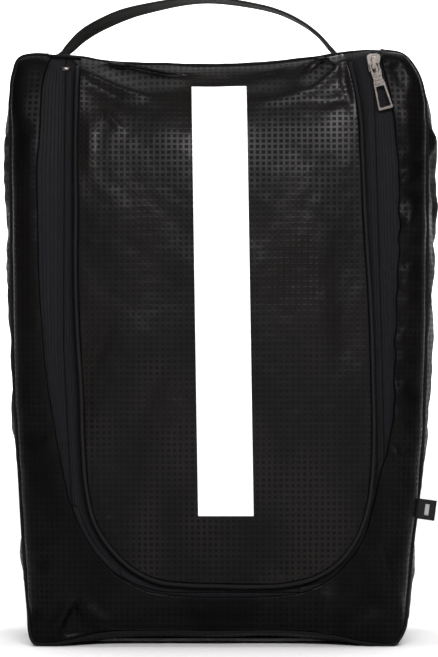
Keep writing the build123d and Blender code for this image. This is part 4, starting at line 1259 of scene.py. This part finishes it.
def round_poly(pts, rads, n=6):
    """Corner-rounded outline."""
    out = []
    m = len(pts)
    for i2 in range(m):
        p0, p1, p2 = (np.array(pts[k2 % m], float) for k2 in (i2 - 1, i2, i2 + 1))
        a2, b2 = (p0 - p1) / np.linalg.norm(p0 - p1), (p2 - p1) / np.linalg.norm(p2 - p1)
        half = math.acos(float(np.clip(a2 @ b2, -1, 1))) / 2
        r2 = rads[i2]
        t2 = r2 / math.tan(half)
        st, en = p1 + a2 * t2, p1 + b2 * t2
        for k2 in range(n + 1):
            w2 = k2 / n
            out.append((1 - w2) ** 2 * st + 2 * w2 * (1 - w2) * p1 + w2**2 * en)
    return np.array(out)


PIV = np.array([87.8061, -60.9, 331.6])
tl = math.radians(15)
PX, PY, PZ = np.array([math.cos(tl), 0, math.sin(tl)]), np.array([-math.sin(tl), 0, math.cos(tl)]), np.array([0, -1.0, 0])


def plate_solid(name, loops, half, bevel, lift=0.0):
    """A flat metal shape with rounded edges, its first loop outside and the rest holes, in the pull's own frame."""
    cu = bpy.data.curves.new(name + "_outline", "CURVE")
    cu.dimensions = "2D"
    cu.fill_mode = "BOTH"
    cu.extrude = (half - bevel) * MM
    cu.bevel_depth = bevel * MM
    cu.bevel_resolution = 2
    cu.offset = -bevel * MM
    for L2 in loops:
        sp = cu.splines.new("POLY")
        sp.points.add(len(L2) - 1)
        sp.use_cyclic_u = True
        for pt, (x2, y2) in zip(sp.points, L2):
            pt.co = (x2 * MM, y2 * MM, 0, 1)
    tmp = bpy.data.objects.new(name + "_tmp", cu)
    bpy.context.scene.collection.objects.link(tmp)
    bpy.context.view_layer.update()
    me = bpy.data.meshes.new_from_object(tmp.evaluated_get(bpy.context.evaluated_depsgraph_get()))
    bpy.data.objects.remove(tmp)
    bpy.data.curves.remove(cu)
    co = np.zeros(len(me.vertices) * 3, np.float32)
    me.vertices.foreach_get("co", co)
    co = co.reshape(-1, 3) / MM
    world_co = PIV + co[:, :1] * PX + co[:, 1:2] * PY + (co[:, 2:3] + lift) * PZ
    return world_co, [list(pg.vertices) for pg in me.polygons], me


outline = round_poly([(-2.9, 0.95), (-3.1, -5.0), (-2.7, -8.6), (-3.4, -12.2), (-4.35, -26.9), (4.35, -26.9), (3.4, -12.2), (2.7, -8.6), (3.1, -5.0),
                      (2.9, 0.95)], [1.5, 1.2, 1.6, 2.0, 1.0, 1.0, 2.0, 1.6, 1.2, 1.5])
eye_hole = round_poly([(-1.75, -0.45), (-1.75, -5.0), (1.75, -5.0), (1.75, -0.45)], [0.5, 0.8, 0.8, 0.5])
window_hole = round_poly([(-2.15, -13.4), (-3.05, -25.3), (3.05, -25.3), (2.15, -13.4)], [0.6, 0.7, 0.7, 0.6])
pieces = [plate_solid("pull_plate", [outline, eye_hole, window_hole], 0.62, 0.22)]
for y2, w2, h2 in ((-7.0, 2.3, 0.75), (-9.4, 2.0, 0.6), (-11.4, 2.3, 0.55)):
    pad = round_poly([(-w2, y2 + h2), (-w2, y2 - h2), (w2, y2 - h2), (w2, y2 + h2)], [0.45] * 4, 4)
    pieces.append(plate_solid("pull_rib", [pad], 0.34, 0.2, 0.72))
V, F, b = [], [], 0
for vv2, ff2, me2 in pieces:
    V.append(vv2)
    F += [[i2 + b for i2 in q2] for q2 in ff2]
    b += len(vv2)
    bpy.data.meshes.remove(me2)
pull_ob = mesh_object("zip_pull_tab", np.vstack(V), F, None, M_METAL, shade=False)
wn = pull_ob.modifiers.new("weld", "WELD")
wn.merge_threshold = 0.00001
pull_ob.data.polygons.foreach_set("use_smooth", [False] * len(pull_ob.data.polygons))
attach(pull_ob, "pull")
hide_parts("zip_pull")
ob = NODES["base_board"]
ob.data.materials.clear()
ob.data.materials.append(M_BOARD)

# =====================================================================================================
# riding and replacing
# =====================================================================================================
for ob, nodes, slot in (
        (surround_ob, ["front_surround"], "ripstop_black"), (side_l, ["side_gusset_left"], "ripstop_black"),
        (side_r, ["side_gusset_right"], "ripstop_black"), (base_p, ["base_panel"], "ripstop_black"),
        (top_p, ["top_panel"], "ripstop_black"), (back_ob, ["back_panel"], "ripstop_black"),
        (piping_f, ["front_seam_piping"], "piping_black"), (piping_b, ["back_seam_piping"], "piping_black"),
        (hinge_ob, ["flap_hinge_piping"], "piping_black"), (bind_f, ["front_seam_binding"], "binding_tape"),
        (bind_b, ["back_seam_binding"], "binding_tape"), (tape_body, ["zip_tape_body_side"], "zip_tape_black"),
        (coil_body, ["zip_coil_body_side"], "coil_black"), (stop_l, ["zip_end_stop_left"], "zip_metal"),
        (stop_r, ["zip_end_stop_right"], "zip_metal"), (label_ob, ["side_label"], "label_black"),
        (mark_ob, ["side_label_mark"], "label_grey"), (st_l, [], "webbing_black"), (st_r, [], "webbing_black")):
    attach(ob, "bag_body")
    if nodes:
        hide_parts(*nodes)

# the flap's cloth, sewn along the top seam and hanging below it: its meshes get their transforms baked in, and the CAD
# flap parts are hidden
for ob, nodes, slot in (
        (flap_ob, ["flap_panel"], "ripstop_black"), (lining_ob, ["flap_lining"], "lining_black"),
        (piping_ob, ["flap_piping"], "piping_black"), (tape_flap, ["zip_tape_flap_side"], "zip_tape_black"),
        (coil_flap, ["zip_coil_flap_side"], "coil_black"), (band_ob, ["flap_print"], "print_white")):
    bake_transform(ob)
    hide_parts(*nodes)

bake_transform(handle_ob)
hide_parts("handle_strap", "handle_end_left", "handle_end_right")

# =====================================================================================================
# studio
# =====================================================================================================
def stage_sweep():
    """A pale floor that curves up into a plain wall."""
    prof3 = [(-9.0, 0.0), (-6.0, 0.0), (-3.0, 0.0), (-1.0, 0.0), (-0.5, 0.0), (0.0, 0.0), (0.5, 0.0), (1.2, 0.0), (2.4, 0.0), (3.3, 0.0)]
    for a2 in np.linspace(0, math.pi / 2, 24)[1:]:
        prof3.append((3.3 + 1.2 * math.sin(a2), 1.2 - 1.2 * math.cos(a2)))
    prof3 += [(4.5, 2.4), (4.5, 6.0)]
    xs = np.linspace(-9, 9, 19)
    V = [(x * 1000, y * 1000, z * 1000) for y, z in prof3 for x in xs]
    ob = mesh_object("studio_floor", V, grid_faces(len(prof3), len(xs)), None)
    n = Nodes("studio_paper")
    a = n.noise(n.obj(), 3.0, 2.0)
    col = n.mix(a, (0.90, 0.90, 0.90), (0.93, 0.93, 0.93))
    n.done(col, 0.9, None, Specular_IOR_Level=0.1)
    ob.data.materials.append(n.m)
    return ob


floor = stage_sweep()


def area(name, loc, target, size, energy, color=(1, 1, 1), spread=180):
    L = bpy.data.lights.new(name, "AREA")
    L.spread = math.radians(spread)
    L.shape = "RECTANGLE"
    L.size, L.size_y = size
    L.energy = energy
    L.color = color
    o = bpy.data.objects.new(name, L)
    bpy.context.scene.collection.objects.link(o)
    o.location = loc
    o.rotation_mode = "QUATERNION"
    o.rotation_quaternion = (Vector(target) - Vector(loc)).to_track_quat("-Z", "Y")
    return o


area("key_box", (0.12, -1.56, 0.80), (0, -0.06, 0.27), (1.0, 0.22), 29.0, color=(1.0, 0.965, 0.985))
area("top_box", (0.0, 0.40, 2.30), (0, 0.35, 0.0), (3.2, 2.0), 66)
area("back_wash", (0, 2.9, 2.6), (0, 4.4, 0.5), (3.6, 0.6), 120, spread=130)
world = bpy.data.worlds.new("studio")
bpy.context.scene.world = world
world.use_nodes = True
world.node_tree.nodes["Background"].inputs[0].default_value = (1.0, 1.0, 1.0, 1)
world.node_tree.nodes["Background"].inputs[1].default_value = 0.17

cam = bpy.data.cameras.new("cam")
cam_ob = bpy.data.objects.new("cam", cam)
bpy.context.scene.collection.objects.link(cam_ob)
cam_ob.location = (0.0, -1.65, 0.1813)
cam_ob.rotation_euler = (math.radians(90), 0, 0)
cam.sensor_width = 36.0
cam.lens = 36.0 * 1.6 / 0.3751
cam.clip_start, cam.clip_end = 0.05, 50
bpy.context.scene.camera = cam_ob
bpy.context.scene.view_settings.view_transform = "Standard"
bpy.context.scene.view_settings.look = "None"
